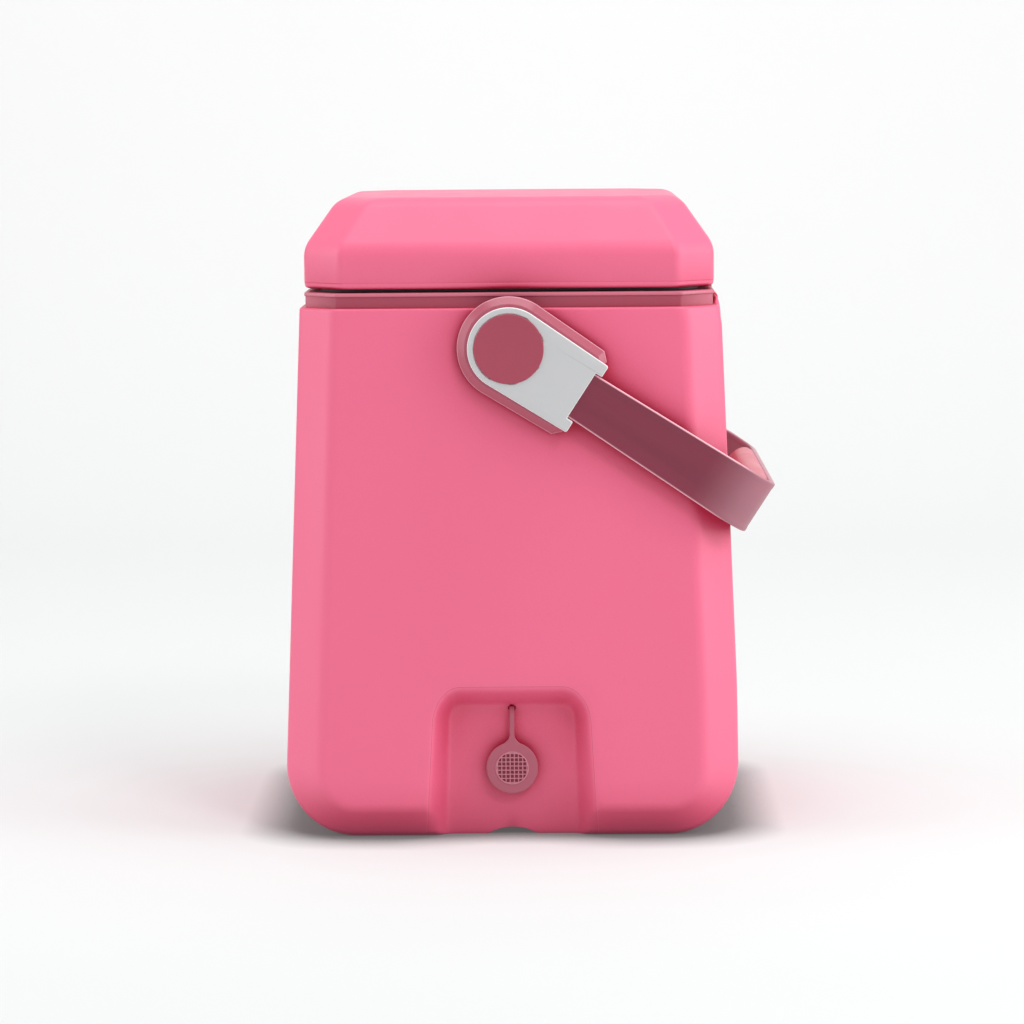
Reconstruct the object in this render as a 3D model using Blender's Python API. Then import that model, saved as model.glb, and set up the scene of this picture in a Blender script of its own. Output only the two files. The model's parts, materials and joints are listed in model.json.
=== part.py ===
"""Insulated beverage cooler with a hinged lid, a swinging bail handle and a tethered drain plug.

Metres, +Z up. The origin is the centre of the base on the floor. The front (drain side) faces -Y,
the lid's hinge runs along the +X side, and the bail rests lowered on the +X side.
"""

import math

import bmesh
import bpy
from mathutils import Vector

# ---- driving dimensions: body ----
BODY_TOP = 0.348
BODY_HALF_LOW = 0.1495
BODY_LOW_Z = 0.045
BODY_TAPER = 0.0383
FOOT_RADIUS = 0.046
SHELL_WALL = 0.003
SIDE_BEVEL = 0.0230
SIDE_BEVEL_DEPTH = 0.0215
FOOT_BEVEL = 0.020
FOOT_BEVEL_DEPTH = 0.013
ARC_STEPS = 7
CORNER_SHRINK = 0.586
GAP = 0.0003
FOAM_GAP = 0.0010

# ---- driving dimensions: tub, collar and lid ----
TUB_FLOOR = 0.0375
TUB_HALF_LOW = 0.111
TUB_HALF_TOP = 0.1185
TUB_WALL = 0.0025
TUB_CORNER = 0.030
TUB_FOOT_RADIUS = 0.012
RIM_CHAMFER = 0.0215
COLLAR_HALF = 0.1346
COLLAR_TOP = 0.358
COLLAR_BOTTOM = 0.337
COLLAR_WALL = 0.0026
LID_BOTTOM = 0.3603
LID_TOP = 0.4195
LID_WALL = 0.003
LID_PLUG_HALF = 0.1125
LID_PLUG_BOTTOM = 0.344
LID_FLANGE_Z = 0.3626
GASKET_HALF = 0.1225

# ---- driving dimensions: hinge ----
HINGE_X = 0.1350
HINGE_Z = 0.3500
KNUCKLE_RADIUS = 0.0042
HINGE_PIN_RADIUS = 0.0016
ARM_HALF_LENGTH = 0.030
HINGE_HALF_LENGTH = 0.062
ARM_BLOCK_LOW = 0.3586
ARM_BLOCK_TOP = 0.3640
ARM_TAB_TOP = 0.3760
HINGE_POCKET_X = 0.1303

# ---- driving dimensions: bail ----
PIVOT_Z = 0.322
BAIL_DROP = math.radians(33.1)
ARM_OUTER = 0.152
STRAP_THICKNESS = 0.0045
STRAP_HALF_NEAR = 0.0165
STRAP_HALF_FAR = 0.0187
STRAP_START = 0.021
BAIL_REACH = 0.1955
BEND_RADIUS = 0.024
GRIP_HALF_LENGTH = 0.116
GRIP_HALF_WIDTH = 0.0165
GRIP_DEPTH = 0.0120
GRIP_SCREW_Y = 0.070
CLAMP_ALONG = 0.040
CLAMP_ACROSS = 0.009
CLAMP_HOLE = 0.0021
CLAMP_SHANK = 0.0018
PILOT_RADIUS = 0.0022
SCREW_HEAD = 0.0042
HOUSING_BACK = 0.1418
HOUSING_FRONT = 0.1500
HOUSING_RADIUS = 0.0338
HOUSING_TOP_RADIUS = 0.0290
HOUSING_END = 0.0550
PLATE_RADIUS = 0.0270
PLATE_THICKNESS = 0.0032
PLATE_SLOT_END = 0.0560
PLATE_TIP = 0.0607
CAP_RADIUS = 0.0234
CAP_THICKNESS = 0.0014
BOSS_RADIUS = 0.020
BOSS_BACK = 0.1364
PIVOT_SCREW_RADIUS = 0.0060
PIVOT_HEAD_RADIUS = 0.0118
BUSH_RADIUS = 0.0090
NUT_PLATE_RADIUS = 0.0200

# ---- driving dimensions: drain ----
DRAIN_Z = 0.0448
RECESS_BACK = 0.130
RECESS_TOP = 0.0983
RECESS_BACK_TOP = 0.0865
RECESS_HALF_TOP = 0.0495
RECESS_HALF_FOOT = 0.0555
RECESS_BACK_HALF_TOP = 0.0408
RECESS_BACK_HALF_FOOT = 0.0440
RECESS_CORNER = 0.018
NOTCH_RADIUS = 0.030
NOTCH_HEIGHT = 0.0045
SPOUT_RADIUS = 0.0088
SPOUT_BORE = 0.0064
DRAIN_NUT_RADIUS = 0.0122
WELL_RADIUS = 0.0130
WELL_DEPTH = 0.018
PLUG_RADIUS = 0.017
PLUG_FACE = 0.1372
TETHER_WIDTH = 0.0032
TETHER_TOP = 0.0840

ROUND_SIDES = 32

COLOURS = {
    "shell_pink": ((0.80, 0.16, 0.30), 0.5, 0.0),
    "rose": ((0.42, 0.09, 0.14), 0.45, 0.0),
    "light_grey": ((0.62, 0.62, 0.63), 0.45, 0.0),
    "liner_white": ((0.80, 0.80, 0.80), 0.4, 0.0),
    "foam": ((0.75, 0.66, 0.42), 0.9, 0.0),
    "rubber": ((0.42, 0.11, 0.16), 0.7, 0.0),
    "steel": ((0.60, 0.60, 0.62), 0.3, 1.0),
    "acetal": ((0.78, 0.78, 0.76), 0.35, 0.0),
}


# ---- helpers ----

def clear_scene():
    for item in list(bpy.data.objects):
        bpy.data.objects.remove(item, do_unlink=True)


def material(kind):
    """One Principled material for each kind of stuff, made on first use."""
    found = bpy.data.materials.get(kind)
    if found:
        return found
    colour, roughness, metallic = COLOURS[kind]
    made = bpy.data.materials.new(kind)
    made.use_nodes = True
    shader = made.node_tree.nodes["Principled BSDF"]
    shader.inputs["Base Color"].default_value = (*colour, 1.0)
    shader.inputs["Roughness"].default_value = roughness
    shader.inputs["Metallic"].default_value = metallic
    made.diffuse_color = (*colour, 1.0)
    return made


def place(name, bm, kind=None, origin=(0.0, 0.0, 0.0), smooth=True):
    """Turns a bmesh in world coordinates into an object whose origin is at the given point."""
    bmesh.ops.remove_doubles(bm, verts=bm.verts, dist=1e-6)
    bmesh.ops.recalc_face_normals(bm, faces=bm.faces)
    bmesh.ops.translate(bm, verts=bm.verts, vec=-Vector(origin))
    mesh = bpy.data.meshes.new(name)
    bm.to_mesh(mesh)
    bm.free()
    if smooth:
        mesh.shade_smooth()
        mesh.set_sharp_from_angle(angle=math.radians(30))
    item = bpy.data.objects.new(name, mesh)
    item.location = origin
    bpy.context.scene.collection.objects.link(item)
    if kind:
        mesh.materials.append(material(kind))
    return item


def combine(target, cutters, operation="DIFFERENCE"):
    """Applies an exact Boolean with each cutter in turn, then removes the cutters."""
    for cutter in cutters:
        step = target.modifiers.new("combine", "BOOLEAN")
        step.operation = operation
        step.solver = "EXACT"
        step.object = cutter
    bpy.context.view_layer.update()
    graph = bpy.context.evaluated_depsgraph_get()
    result = bpy.data.meshes.new_from_object(target.evaluated_get(graph))
    target.modifiers.clear()
    target.data = result
    for cutter in cutters:
        bpy.data.objects.remove(cutter, do_unlink=True)
    return target


def loft(rings, closed=False):
    """Joins equal rings of points with quads and caps both ends, unless the rings close on each other."""
    bm = bmesh.new()
    rows = [[bm.verts.new(p) for p in ring] for ring in rings]
    count = len(rows[0])
    pairs = list(zip(rows, rows[1:]))
    if closed:
        pairs.append((rows[-1], rows[0]))
    for low, high in pairs:
        for k in range(count):
            nxt = (k + 1) % count
            bm.faces.new((low[k], low[nxt], high[nxt], high[k]))
    if not closed:
        bm.faces.new(rows[0])
        bm.faces.new(rows[-1])
    return bm


def box(low, high):
    bm = bmesh.new()
    size = [h - l for l, h in zip(low, high)]
    middle = [(h + l) / 2 for l, h in zip(low, high)]
    bmesh.ops.create_cube(bm, size=1.0)
    bmesh.ops.scale(bm, verts=bm.verts, vec=size)
    bmesh.ops.translate(bm, verts=bm.verts, vec=middle)
    return bm


def turned_y(profile, x, z, sides=ROUND_SIDES):
    """Turns a profile of (radius, y) points round the Y axis through (x, z).

    The profile runs along Y; a first and last radius of zero make a solid, otherwise it closes as a ring.
    """
    solid = profile[0][0] == 0.0
    body = profile[1:-1] if solid else profile
    rings = []
    for radius, y in body:
        ring = []
        for k in range(sides):
            turn = 2 * math.pi * k / sides
            ring.append((x + radius * math.cos(turn), y, z + radius * math.sin(turn)))
        rings.append(ring)
    return loft(rings, closed=not solid)


def cylinder_y(radius, y_start, y_end, x, z, sides=ROUND_SIDES):
    return turned_y([(0.0, y_start), (radius, y_start), (radius, y_end), (0.0, y_end)], x, z, sides)


def chamfered(half, chamfer, z):
    """A square of the given half-width with cut corners, as a ring at height z."""
    flat = half - chamfer
    corners = [(1, 1), (-1, 1), (-1, -1), (1, -1)]
    ring = []
    for k, (sx, sy) in enumerate(corners):
        ends = [(sx * half, sy * flat), (sx * flat, sy * half)]
        if k % 2:
            ends.reverse()
        ring += [(x, y, z) for x, y in ends]
    return ring


def rounded(half, radius, z, steps=6):
    """A square of the given half-width with round corners, as a ring at height z."""
    ring = []
    for quarter in range(4):
        for k in range(steps + 1):
            turn = math.pi / 2 * (quarter + k / steps)
            cx = math.copysign(half - radius, math.cos(math.pi / 2 * (quarter + 0.5)))
            cy = math.copysign(half - radius, math.sin(math.pi / 2 * (quarter + 0.5)))
            ring.append((cx + radius * math.cos(turn), cy + radius * math.sin(turn), z))
    return ring


def body_half(z):
    """Half-width and half-depth of the tapered body at height z."""
    return BODY_HALF_LOW - BODY_TAPER * (z - BODY_LOW_Z)


# ---- body ----

def body_form(inset, top):
    """The body's form, drawn inwards by an inset.

    Its outline seen from the front has tapered sides and a large round at the foot. Four such
    outlines are lofted from front to back: panel edge, bevel edge, bevel edge, panel edge.
    An inset shrinks the bevels by CORNER_SHRINK times itself, which keeps the wall even at a corner.
    """
    radius = FOOT_RADIUS - inset
    less = CORNER_SHRINK * inset
    side_x = body_half(FOOT_RADIUS) - inset

    def outline(inward, deep):
        """Half an outline, top to bottom, as (x, y, z); inward and deep grade from side to foot."""
        points = [(body_half(top) - inset - inward[0], top, deep[0])]
        for k in range(ARC_STEPS + 1):
            turn = math.pi / 2 * k / ARC_STEPS
            foot = math.sin(turn) ** 2
            reach = radius - (inward[0] * (1 - foot) + inward[1] * foot)
            x = side_x - radius + reach * math.cos(turn)
            z = FOOT_RADIUS - reach * math.sin(turn)
            points.append((x, z, deep[0] * (1 - foot) + deep[1] * foot))
        return [(x, body_half(z) - inset - d, z) for x, z, d in points]

    panel = outline((SIDE_BEVEL - less, FOOT_BEVEL - less), (0.0, 0.0))
    edge = outline((0.0, 0.0), (SIDE_BEVEL_DEPTH - less, FOOT_BEVEL_DEPTH - less))
    rings = []
    for half, side in ((panel, -1), (edge, -1), (edge, 1), (panel, 1)):
        right = [(x, side * y, z) for x, y, z in half]
        left = [(-x, y, z) for x, y, z in reversed(right)]
        rings.append(right + left)
    return loft(rings)


def recess_form(grow):
    """The drain recess: an arch that narrows from the front face to its back wall, open at the foot."""
    foot = -0.02

    def arch(half_top, half_foot, top, corner, y):
        right = [(half_foot + grow, foot)]
        for k in range(5):
            turn = math.pi / 2 * k / 4
            x = half_top + grow - corner + corner * math.cos(turn)
            right.append((x, top + grow - corner + corner * math.sin(turn)))
        points = right + [(-x, z) for x, z in reversed(right)]
        return [(x, y, z) for x, z in points]

    def front(y):
        """Carries the arch's taper on past the front face."""
        face = body_half(RECESS_TOP)
        share = (y - RECESS_BACK) / (face - RECESS_BACK)
        half_top = RECESS_BACK_HALF_TOP + share * (RECESS_HALF_TOP - RECESS_BACK_HALF_TOP)
        half_foot = RECESS_BACK_HALF_FOOT + share * (RECESS_HALF_FOOT - RECESS_BACK_HALF_FOOT)
        top = RECESS_BACK_TOP + share * (RECESS_TOP - RECESS_BACK_TOP)
        return arch(half_top, half_foot, top, RECESS_CORNER, -y)

    return loft([front(RECESS_BACK - grow), front(0.165)])


def notch_form(grow):
    """The shallow drain channel across the front foot, a round-backed groove."""
    axis_z = NOTCH_HEIGHT - NOTCH_RADIUS
    return cylinder_y(NOTCH_RADIUS + grow, -0.17, -0.085 + grow, 0.0, axis_z, 48)


def make_outer_shell():
    shell = place("outer_shell", body_form(0.0, BODY_TOP), "shell_pink")
    cavity = place("cavity", body_form(SHELL_WALL, BODY_TOP + 0.02))
    keep = [place("keep_recess", recess_form(SHELL_WALL)), place("keep_notch", notch_form(SHELL_WALL))]
    combine(cavity, keep)
    combine(shell, [cavity])
    reach = ARM_HALF_LENGTH + GAP
    barrel_room = KNUCKLE_RADIUS + GAP
    gap_low = (HINGE_X - 0.01, -reach, HINGE_Z - barrel_room)
    combine(shell, [place("arm_gap", box(gap_low, (HINGE_X + 0.01, reach, BODY_TOP + 0.01)))])
    lugs = []
    for side in (-1, 1):
        boss = cylinder_y(BOSS_RADIUS, side * (HOUSING_BACK - 2 * GAP), side * BOSS_BACK, 0.0, PIVOT_Z)
        lugs.append(place("boss", boss))
    for side in (-1, 1):
        low, high = sorted((side * (ARM_HALF_LENGTH + GAP), side * HINGE_HALF_LENGTH))
        lugs.append(place("knuckle", cylinder_y(KNUCKLE_RADIUS, low, high, HINGE_X, HINGE_Z, 24)))
    combine(shell, lugs, "UNION")
    holes = [
        place("recess", recess_form(0.0)),
        place("notch", notch_form(0.0)),
        place("spout_hole", cylinder_y(SPOUT_RADIUS + GAP, -0.14, -0.12, 0.0, DRAIN_Z)),
        place("tether_hole", box((-0.0026, -0.16, TETHER_TOP - 0.0022), (0.0026, -0.115, TETHER_TOP + 0.0022))),
        place("pin_hole", cylinder_y(HINGE_PIN_RADIUS + GAP, -0.08, 0.08, HINGE_X, HINGE_Z, 24)),
    ]
    for side in (-1, 1):
        hole = cylinder_y(PIVOT_SCREW_RADIUS + GAP, side * 0.12, side * 0.16, 0.0, PIVOT_Z)
        holes.append(place("pivot_hole", hole))
    combine(shell, holes)


def tub_half(z):
    share = (z - TUB_FLOOR) / (BODY_TOP - TUB_FLOOR)
    return TUB_HALF_LOW + share * (TUB_HALF_TOP - TUB_HALF_LOW)


def tub_form(grow, top):
    """The tub's form with a rounded foot, grown outwards by a wall."""
    floor = TUB_FLOOR - grow
    rings = []
    for k in range(4):
        turn = math.pi / 2 * k / 3
        drawn_in = TUB_FOOT_RADIUS * (1 - math.sin(turn))
        z = floor + TUB_FOOT_RADIUS * (1 - math.cos(turn))
        half = tub_half(TUB_FLOOR) + grow - drawn_in
        rings.append(rounded(half, TUB_CORNER + grow - drawn_in, z))
    rings.append(rounded(tub_half(top) + grow, TUB_CORNER + grow, top))
    return loft(rings)


def drain_well(grow):
    """A round well in the tub's front foot that holds the drain nut and lets the last water out."""
    face = -tub_half(DRAIN_Z) - grow
    return cylinder_y(WELL_RADIUS + grow, face, face + WELL_DEPTH + 2 * grow, 0.0, DRAIN_Z)


def make_inner_liner():
    flange_low = COLLAR_TOP - 0.0065
    flange_high = COLLAR_TOP - 0.0035
    liner = place("inner_liner", tub_form(TUB_WALL, flange_low + 0.001), "liner_white")
    rim = loft([chamfered(0.1300, RIM_CHAMFER, z) for z in (flange_low, flange_high)])
    combine(liner, [place("rim", rim), place("well_wall", drain_well(TUB_WALL))], "UNION")
    combine(liner, [
        place("inside", tub_form(0.0, COLLAR_TOP + 0.01)),
        place("well", drain_well(0.0)),
        place("drain_hole", cylinder_y(SPOUT_RADIUS + GAP, -0.125, -0.10, 0.0, DRAIN_Z)),
    ])


def make_body_foam():
    """Foam between the outer shell and the liner, clear of the fittings that pass through it."""
    top = COLLAR_BOTTOM - 0.001
    foam = place("body_foam", body_form(SHELL_WALL + FOAM_GAP, top), "foam")
    cuts = [
        place("liner_space", tub_form(TUB_WALL + FOAM_GAP, COLLAR_TOP)),
        place("well_space", drain_well(TUB_WALL + FOAM_GAP)),
        place("recess_space", recess_form(SHELL_WALL + 2 * FOAM_GAP)),
        place("notch_space", notch_form(SHELL_WALL + FOAM_GAP)),
        place("spout_space", cylinder_y(SPOUT_RADIUS + 2 * GAP, -0.14, -0.10, 0.0, DRAIN_Z)),
        place("tether_space", box((-0.007, -0.145, TETHER_TOP - 0.007), (0.007, -0.1215, TETHER_TOP + 0.007))),
    ]
    for side in (-1, 1):
        cuts.append(place("nut_space", cylinder_y(NUT_PLATE_RADIUS + 0.0025, side * 0.1235, side * 0.145, 0.0, PIVOT_Z)))
    combine(foam, cuts)


def make_collar_ring():
    """Rim that drops inside the shell and lies over the liner's flange."""
    inner = COLLAR_HALF - COLLAR_WALL
    lip = 0.1165
    flange = COLLAR_TOP - 0.003
    soft = 0.0012
    ring = [
        chamfered(COLLAR_HALF, RIM_CHAMFER, COLLAR_BOTTOM),
        chamfered(COLLAR_HALF, RIM_CHAMFER, COLLAR_TOP - soft),
        chamfered(COLLAR_HALF - soft, RIM_CHAMFER, COLLAR_TOP),
        chamfered(lip, RIM_CHAMFER, COLLAR_TOP),
        chamfered(lip, RIM_CHAMFER, flange),
        chamfered(inner, RIM_CHAMFER, flange),
        chamfered(inner, RIM_CHAMFER, COLLAR_BOTTOM),
    ]
    collar = place("collar_ring", loft(ring, closed=True), "rose")
    reach = HINGE_HALF_LENGTH + 0.002
    pocket = box((HINGE_POCKET_X, -reach, 0.33), (0.16, reach, 0.37))
    combine(collar, [place("hinge_pocket", pocket)])


# ---- lid ----

LID_PROFILE = (
    (LID_BOTTOM, 0.1332, 0.0235),
    (0.3630, 0.1346, 0.0240),
    (0.3802, 0.1348, 0.0240),
    (0.3862, 0.1338, 0.0238),
    (0.3915, 0.1316, 0.0235),
    (0.3965, 0.1288, 0.0232),
    (0.4118, 0.1175, 0.0222),
    (0.4168, 0.1125, 0.0215),
    (LID_TOP, 0.1020, 0.0205),
)


def make_lid_shell():
    lid = place("lid_shell", loft([chamfered(h, c, z) for z, h, c in LID_PROFILE]), "shell_pink")
    inner = [chamfered(LID_PROFILE[1][1] - LID_WALL, 0.0230, LID_BOTTOM - 0.01)]
    for z, half, chamfer in LID_PROFILE[2:7]:
        inner.append(chamfered(half - LID_WALL, chamfer - 0.001, z - 0.001))
    inner.append(chamfered(0.1070, 0.0200, LID_TOP - LID_WALL))
    reach = ARM_HALF_LENGTH + GAP
    slot = box((0.125, -reach, LID_BOTTOM - 0.01), (0.145, reach, ARM_BLOCK_TOP + GAP))
    combine(lid, [place("lid_inside", loft(inner)), place("arm_slot", slot)])


def make_lid_liner():
    """Pan under the lid: a flange above the gasket and a plug that drops into the tub's mouth."""
    wall = 0.0025
    rings = [
        chamfered(0.1280, 0.0220, LID_FLANGE_Z),
        chamfered(0.1280, 0.0220, LID_FLANGE_Z + wall),
        chamfered(LID_PLUG_HALF - wall, 0.0210, LID_FLANGE_Z + wall),
        chamfered(LID_PLUG_HALF - wall - 0.002, 0.0205, LID_PLUG_BOTTOM + wall),
    ]
    under = [
        chamfered(LID_PLUG_HALF - 0.002, 0.0210, LID_PLUG_BOTTOM),
        chamfered(LID_PLUG_HALF, 0.0215, LID_FLANGE_Z),
    ]
    bm = bmesh.new()
    rows = [[bm.verts.new(p) for p in ring] for ring in under + rings]
    for low, high in zip(rows, rows[1:]):
        for k in range(8):
            nxt = (k + 1) % 8
            bm.faces.new((low[k], low[nxt], high[nxt], high[k]))
    bm.faces.new(rows[0])
    bm.faces.new(rows[-1])
    place("lid_liner", bm, "liner_white")


def make_lid_foam():
    wall = 0.0025 + GAP
    foot = LID_PLUG_BOTTOM + wall
    shelf = LID_FLANGE_Z + wall
    rings = [
        chamfered(LID_PLUG_HALF - wall - 0.0022, 0.0203, foot),
        chamfered(LID_PLUG_HALF - wall, 0.0208, shelf),
        chamfered(0.1278, 0.0220, shelf),
        chamfered(0.1278, 0.0220, 0.3810),
    ]
    for z, half, chamfer in LID_PROFILE[4:7]:
        rings.append(chamfered(half - LID_WALL - 0.002, chamfer - 0.001, z - 0.0015))
    rings.append(chamfered(0.1040, 0.0195, LID_TOP - LID_WALL - GAP))
    place("lid_foam", loft(rings), "foam")


def make_lid_gasket():
    """Hollow-backed rubber bead between the collar and the lid's flange."""
    low = COLLAR_TOP + GAP
    high = LID_FLANGE_Z - GAP
    half_width = 0.003
    ring = [
        rounded(GASKET_HALF + half_width, 0.024, high),
        rounded(GASKET_HALF + 0.0012, 0.0222, low),
        rounded(GASKET_HALF - 0.0012, 0.0198, low),
        rounded(GASKET_HALF - half_width, 0.018, high),
    ]
    place("lid_gasket", loft(ring, closed=True), "rubber")


def make_hinge():
    """The lid's hinge arm with its barrel, and the pin through it and the shell's two knuckles."""
    arm = place("hinge_arm", cylinder_y(
        KNUCKLE_RADIUS, -ARM_HALF_LENGTH, ARM_HALF_LENGTH, HINGE_X, HINGE_Z, 24), "shell_pink",
        (HINGE_X, 0.0, HINGE_Z))
    reach = ARM_HALF_LENGTH
    outside = HINGE_X + 0.0012
    neck = box((HINGE_X - 0.0022, -reach, HINGE_Z), (outside, reach, ARM_BLOCK_TOP - 0.001))
    block = box((0.1288, -reach, ARM_BLOCK_LOW), (outside, reach, ARM_BLOCK_TOP))
    tab = box((0.1288, -reach + 0.002, ARM_BLOCK_TOP - 0.001), (0.1312, reach - 0.002, ARM_TAB_TOP))
    combine(arm, [place("neck", neck), place("block", block), place("tab", tab)], "UNION")
    hole = cylinder_y(HINGE_PIN_RADIUS + GAP, -0.05, 0.05, HINGE_X, HINGE_Z, 24)
    combine(arm, [place("arm_hole", hole)])
    pin = cylinder_y(HINGE_PIN_RADIUS, -0.0605, 0.0605, HINGE_X, HINGE_Z, 24)
    place("hinge_pin", pin, "steel", (HINGE_X, 0.0, HINGE_Z))


# ---- bail ----

def bail_point(along, across, y):
    """A point of the lowered bail: along its arm from the pivot, across the arm upwards, and y."""
    c, s = math.cos(BAIL_DROP), math.sin(BAIL_DROP)
    return (along * c + across * s, y, PIVOT_Z - along * s + across * c)


def bail_prism(outline, y_start, y_end):
    """Carries an (along, across) outline along Y."""
    rings = [[bail_point(u, v, y) for u, v in outline] for y in (y_start, y_end)]
    return loft(rings)


def hub_outline(radius, half, end, steps=24):
    """A round end about the pivot that runs out to a square end."""
    points = [(end, -half)]
    start = math.pi / 2
    for k in range(steps + 1):
        turn = start + math.pi * k / steps
        points.append((radius * math.cos(turn), radius * math.sin(turn)))
    points = [(end, half)] + points[1:] + [(end, -half)]
    return points


def strap_half(along):
    share = min(max((along - 0.06) / (BAIL_REACH - BEND_RADIUS - 0.06), 0.0), 1.0)
    return STRAP_HALF_NEAR + share * (STRAP_HALF_FAR - STRAP_HALF_NEAR)


def strap_path():
    """The strap's middle line from the front arm's root to the back arm's, with outward normals."""
    middle = ARM_OUTER - STRAP_THICKNESS / 2
    radius = BEND_RADIUS - STRAP_THICKNESS / 2
    turn_u = BAIL_REACH - BEND_RADIUS
    half = []
    for along in (STRAP_START, 0.06, 0.11):
        half.append((along, -middle, 0.0, -1.0))
    steps = 8
    for k in range(steps + 1):
        turn = math.pi / 2 * k / steps
        half.append((turn_u + radius * math.sin(turn), -middle + radius * (1 - math.cos(turn)),
                     math.sin(turn), -math.cos(turn)))
    half.append((half[-1][0], 0.0, 1.0, 0.0))
    return half + [(u, -y, nu, -ny) for u, y, nu, ny in reversed(half[:-1])]


def make_bail_strap():
    rings = []
    for u, y, nu, ny in strap_path():
        half = strap_half(u)
        ring = []
        for across, out in ((-half, -1), (half, -1), (half, 1), (-half, 1)):
            shift = out * STRAP_THICKNESS / 2
            ring.append(bail_point(u + nu * shift, across, y + ny * shift))
        rings.append(ring)
    strap = place("bail_strap", loft(rings), "rose", (0.0, 0.0, PIVOT_Z))
    holes = []
    for y in (-GRIP_SCREW_Y, GRIP_SCREW_Y):
        holes.append(place("grip_hole", bail_rod(PILOT_RADIUS, BAIL_REACH - 0.02, BAIL_REACH + 0.01, y)))
        holes.append(place("head_hole", bail_rod(SCREW_HEAD + GAP, BAIL_REACH - 0.0022, BAIL_REACH + 0.01, y)))
    for side in (-1, 1):
        for across in (-CLAMP_ACROSS, CLAMP_ACROSS):
            holes.append(place("clamp_hole", clamp_rod(CLAMP_HOLE, across, side, 0.140, 0.160)))
    combine(strap, holes)


def bail_rod(radius, start, end, y, sides=16):
    """A rod that lies along the bail's arm direction at the given y."""
    rings = []
    for along in (start, end):
        ring = []
        for k in range(sides):
            turn = 2 * math.pi * k / sides
            ring.append(bail_point(along, radius * math.sin(turn), y + radius * math.cos(turn)))
        rings.append(ring)
    return loft(rings)


def clamp_rod(radius, across, side, y_start, y_end, sides=16):
    """A rod along Y at the place of a clamp screw."""
    x, _, z = bail_point(CLAMP_ALONG, across, 0.0)
    return cylinder_y(radius, side * y_start, side * y_end, x, z, sides)


def make_bail_grip():
    """The D-shaped palm grip inside the strap's cross-piece."""
    back = BAIL_REACH - STRAP_THICKNESS - GAP
    rings = []
    stations = ((-1.0, 0.55), (-0.97, 0.80), (-0.92, 0.95), (-0.85, 1.0),
                (0.85, 1.0), (0.92, 0.95), (0.97, 0.80), (1.0, 0.55))
    steps = 12
    for share, fullness in stations:
        ring = []
        for k in range(steps + 1):
            turn = math.pi * k / steps
            across = -GRIP_HALF_WIDTH * math.cos(turn)
            depth = GRIP_DEPTH * fullness * math.sin(turn) + 0.0006
            ring.append(bail_point(back - depth, across, share * GRIP_HALF_LENGTH))
        ring.append(bail_point(back, GRIP_HALF_WIDTH, share * GRIP_HALF_LENGTH))
        ring.append(bail_point(back, -GRIP_HALF_WIDTH, share * GRIP_HALF_LENGTH))
        rings.append(ring)
    grip = place("bail_grip", loft(rings), "rose", (0.0, 0.0, PIVOT_Z))
    screws = (("grip_screw_front", -GRIP_SCREW_Y), ("grip_screw_back", GRIP_SCREW_Y))
    holes = [place("pilot", bail_rod(PILOT_RADIUS, back - 0.0088, back + 0.01, y)) for _, y in screws]
    combine(grip, holes)
    for name, y in screws:
        screw = place(name, bail_rod(SCREW_HEAD, BAIL_REACH - 0.0019, BAIL_REACH - 0.0003, y), "steel",
                      (0.0, 0.0, PIVOT_Z))
        shank = bail_rod(CLAMP_SHANK, BAIL_REACH - 0.0125, BAIL_REACH - 0.0010, y)
        combine(screw, [place("shank", shank)], "UNION")


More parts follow.
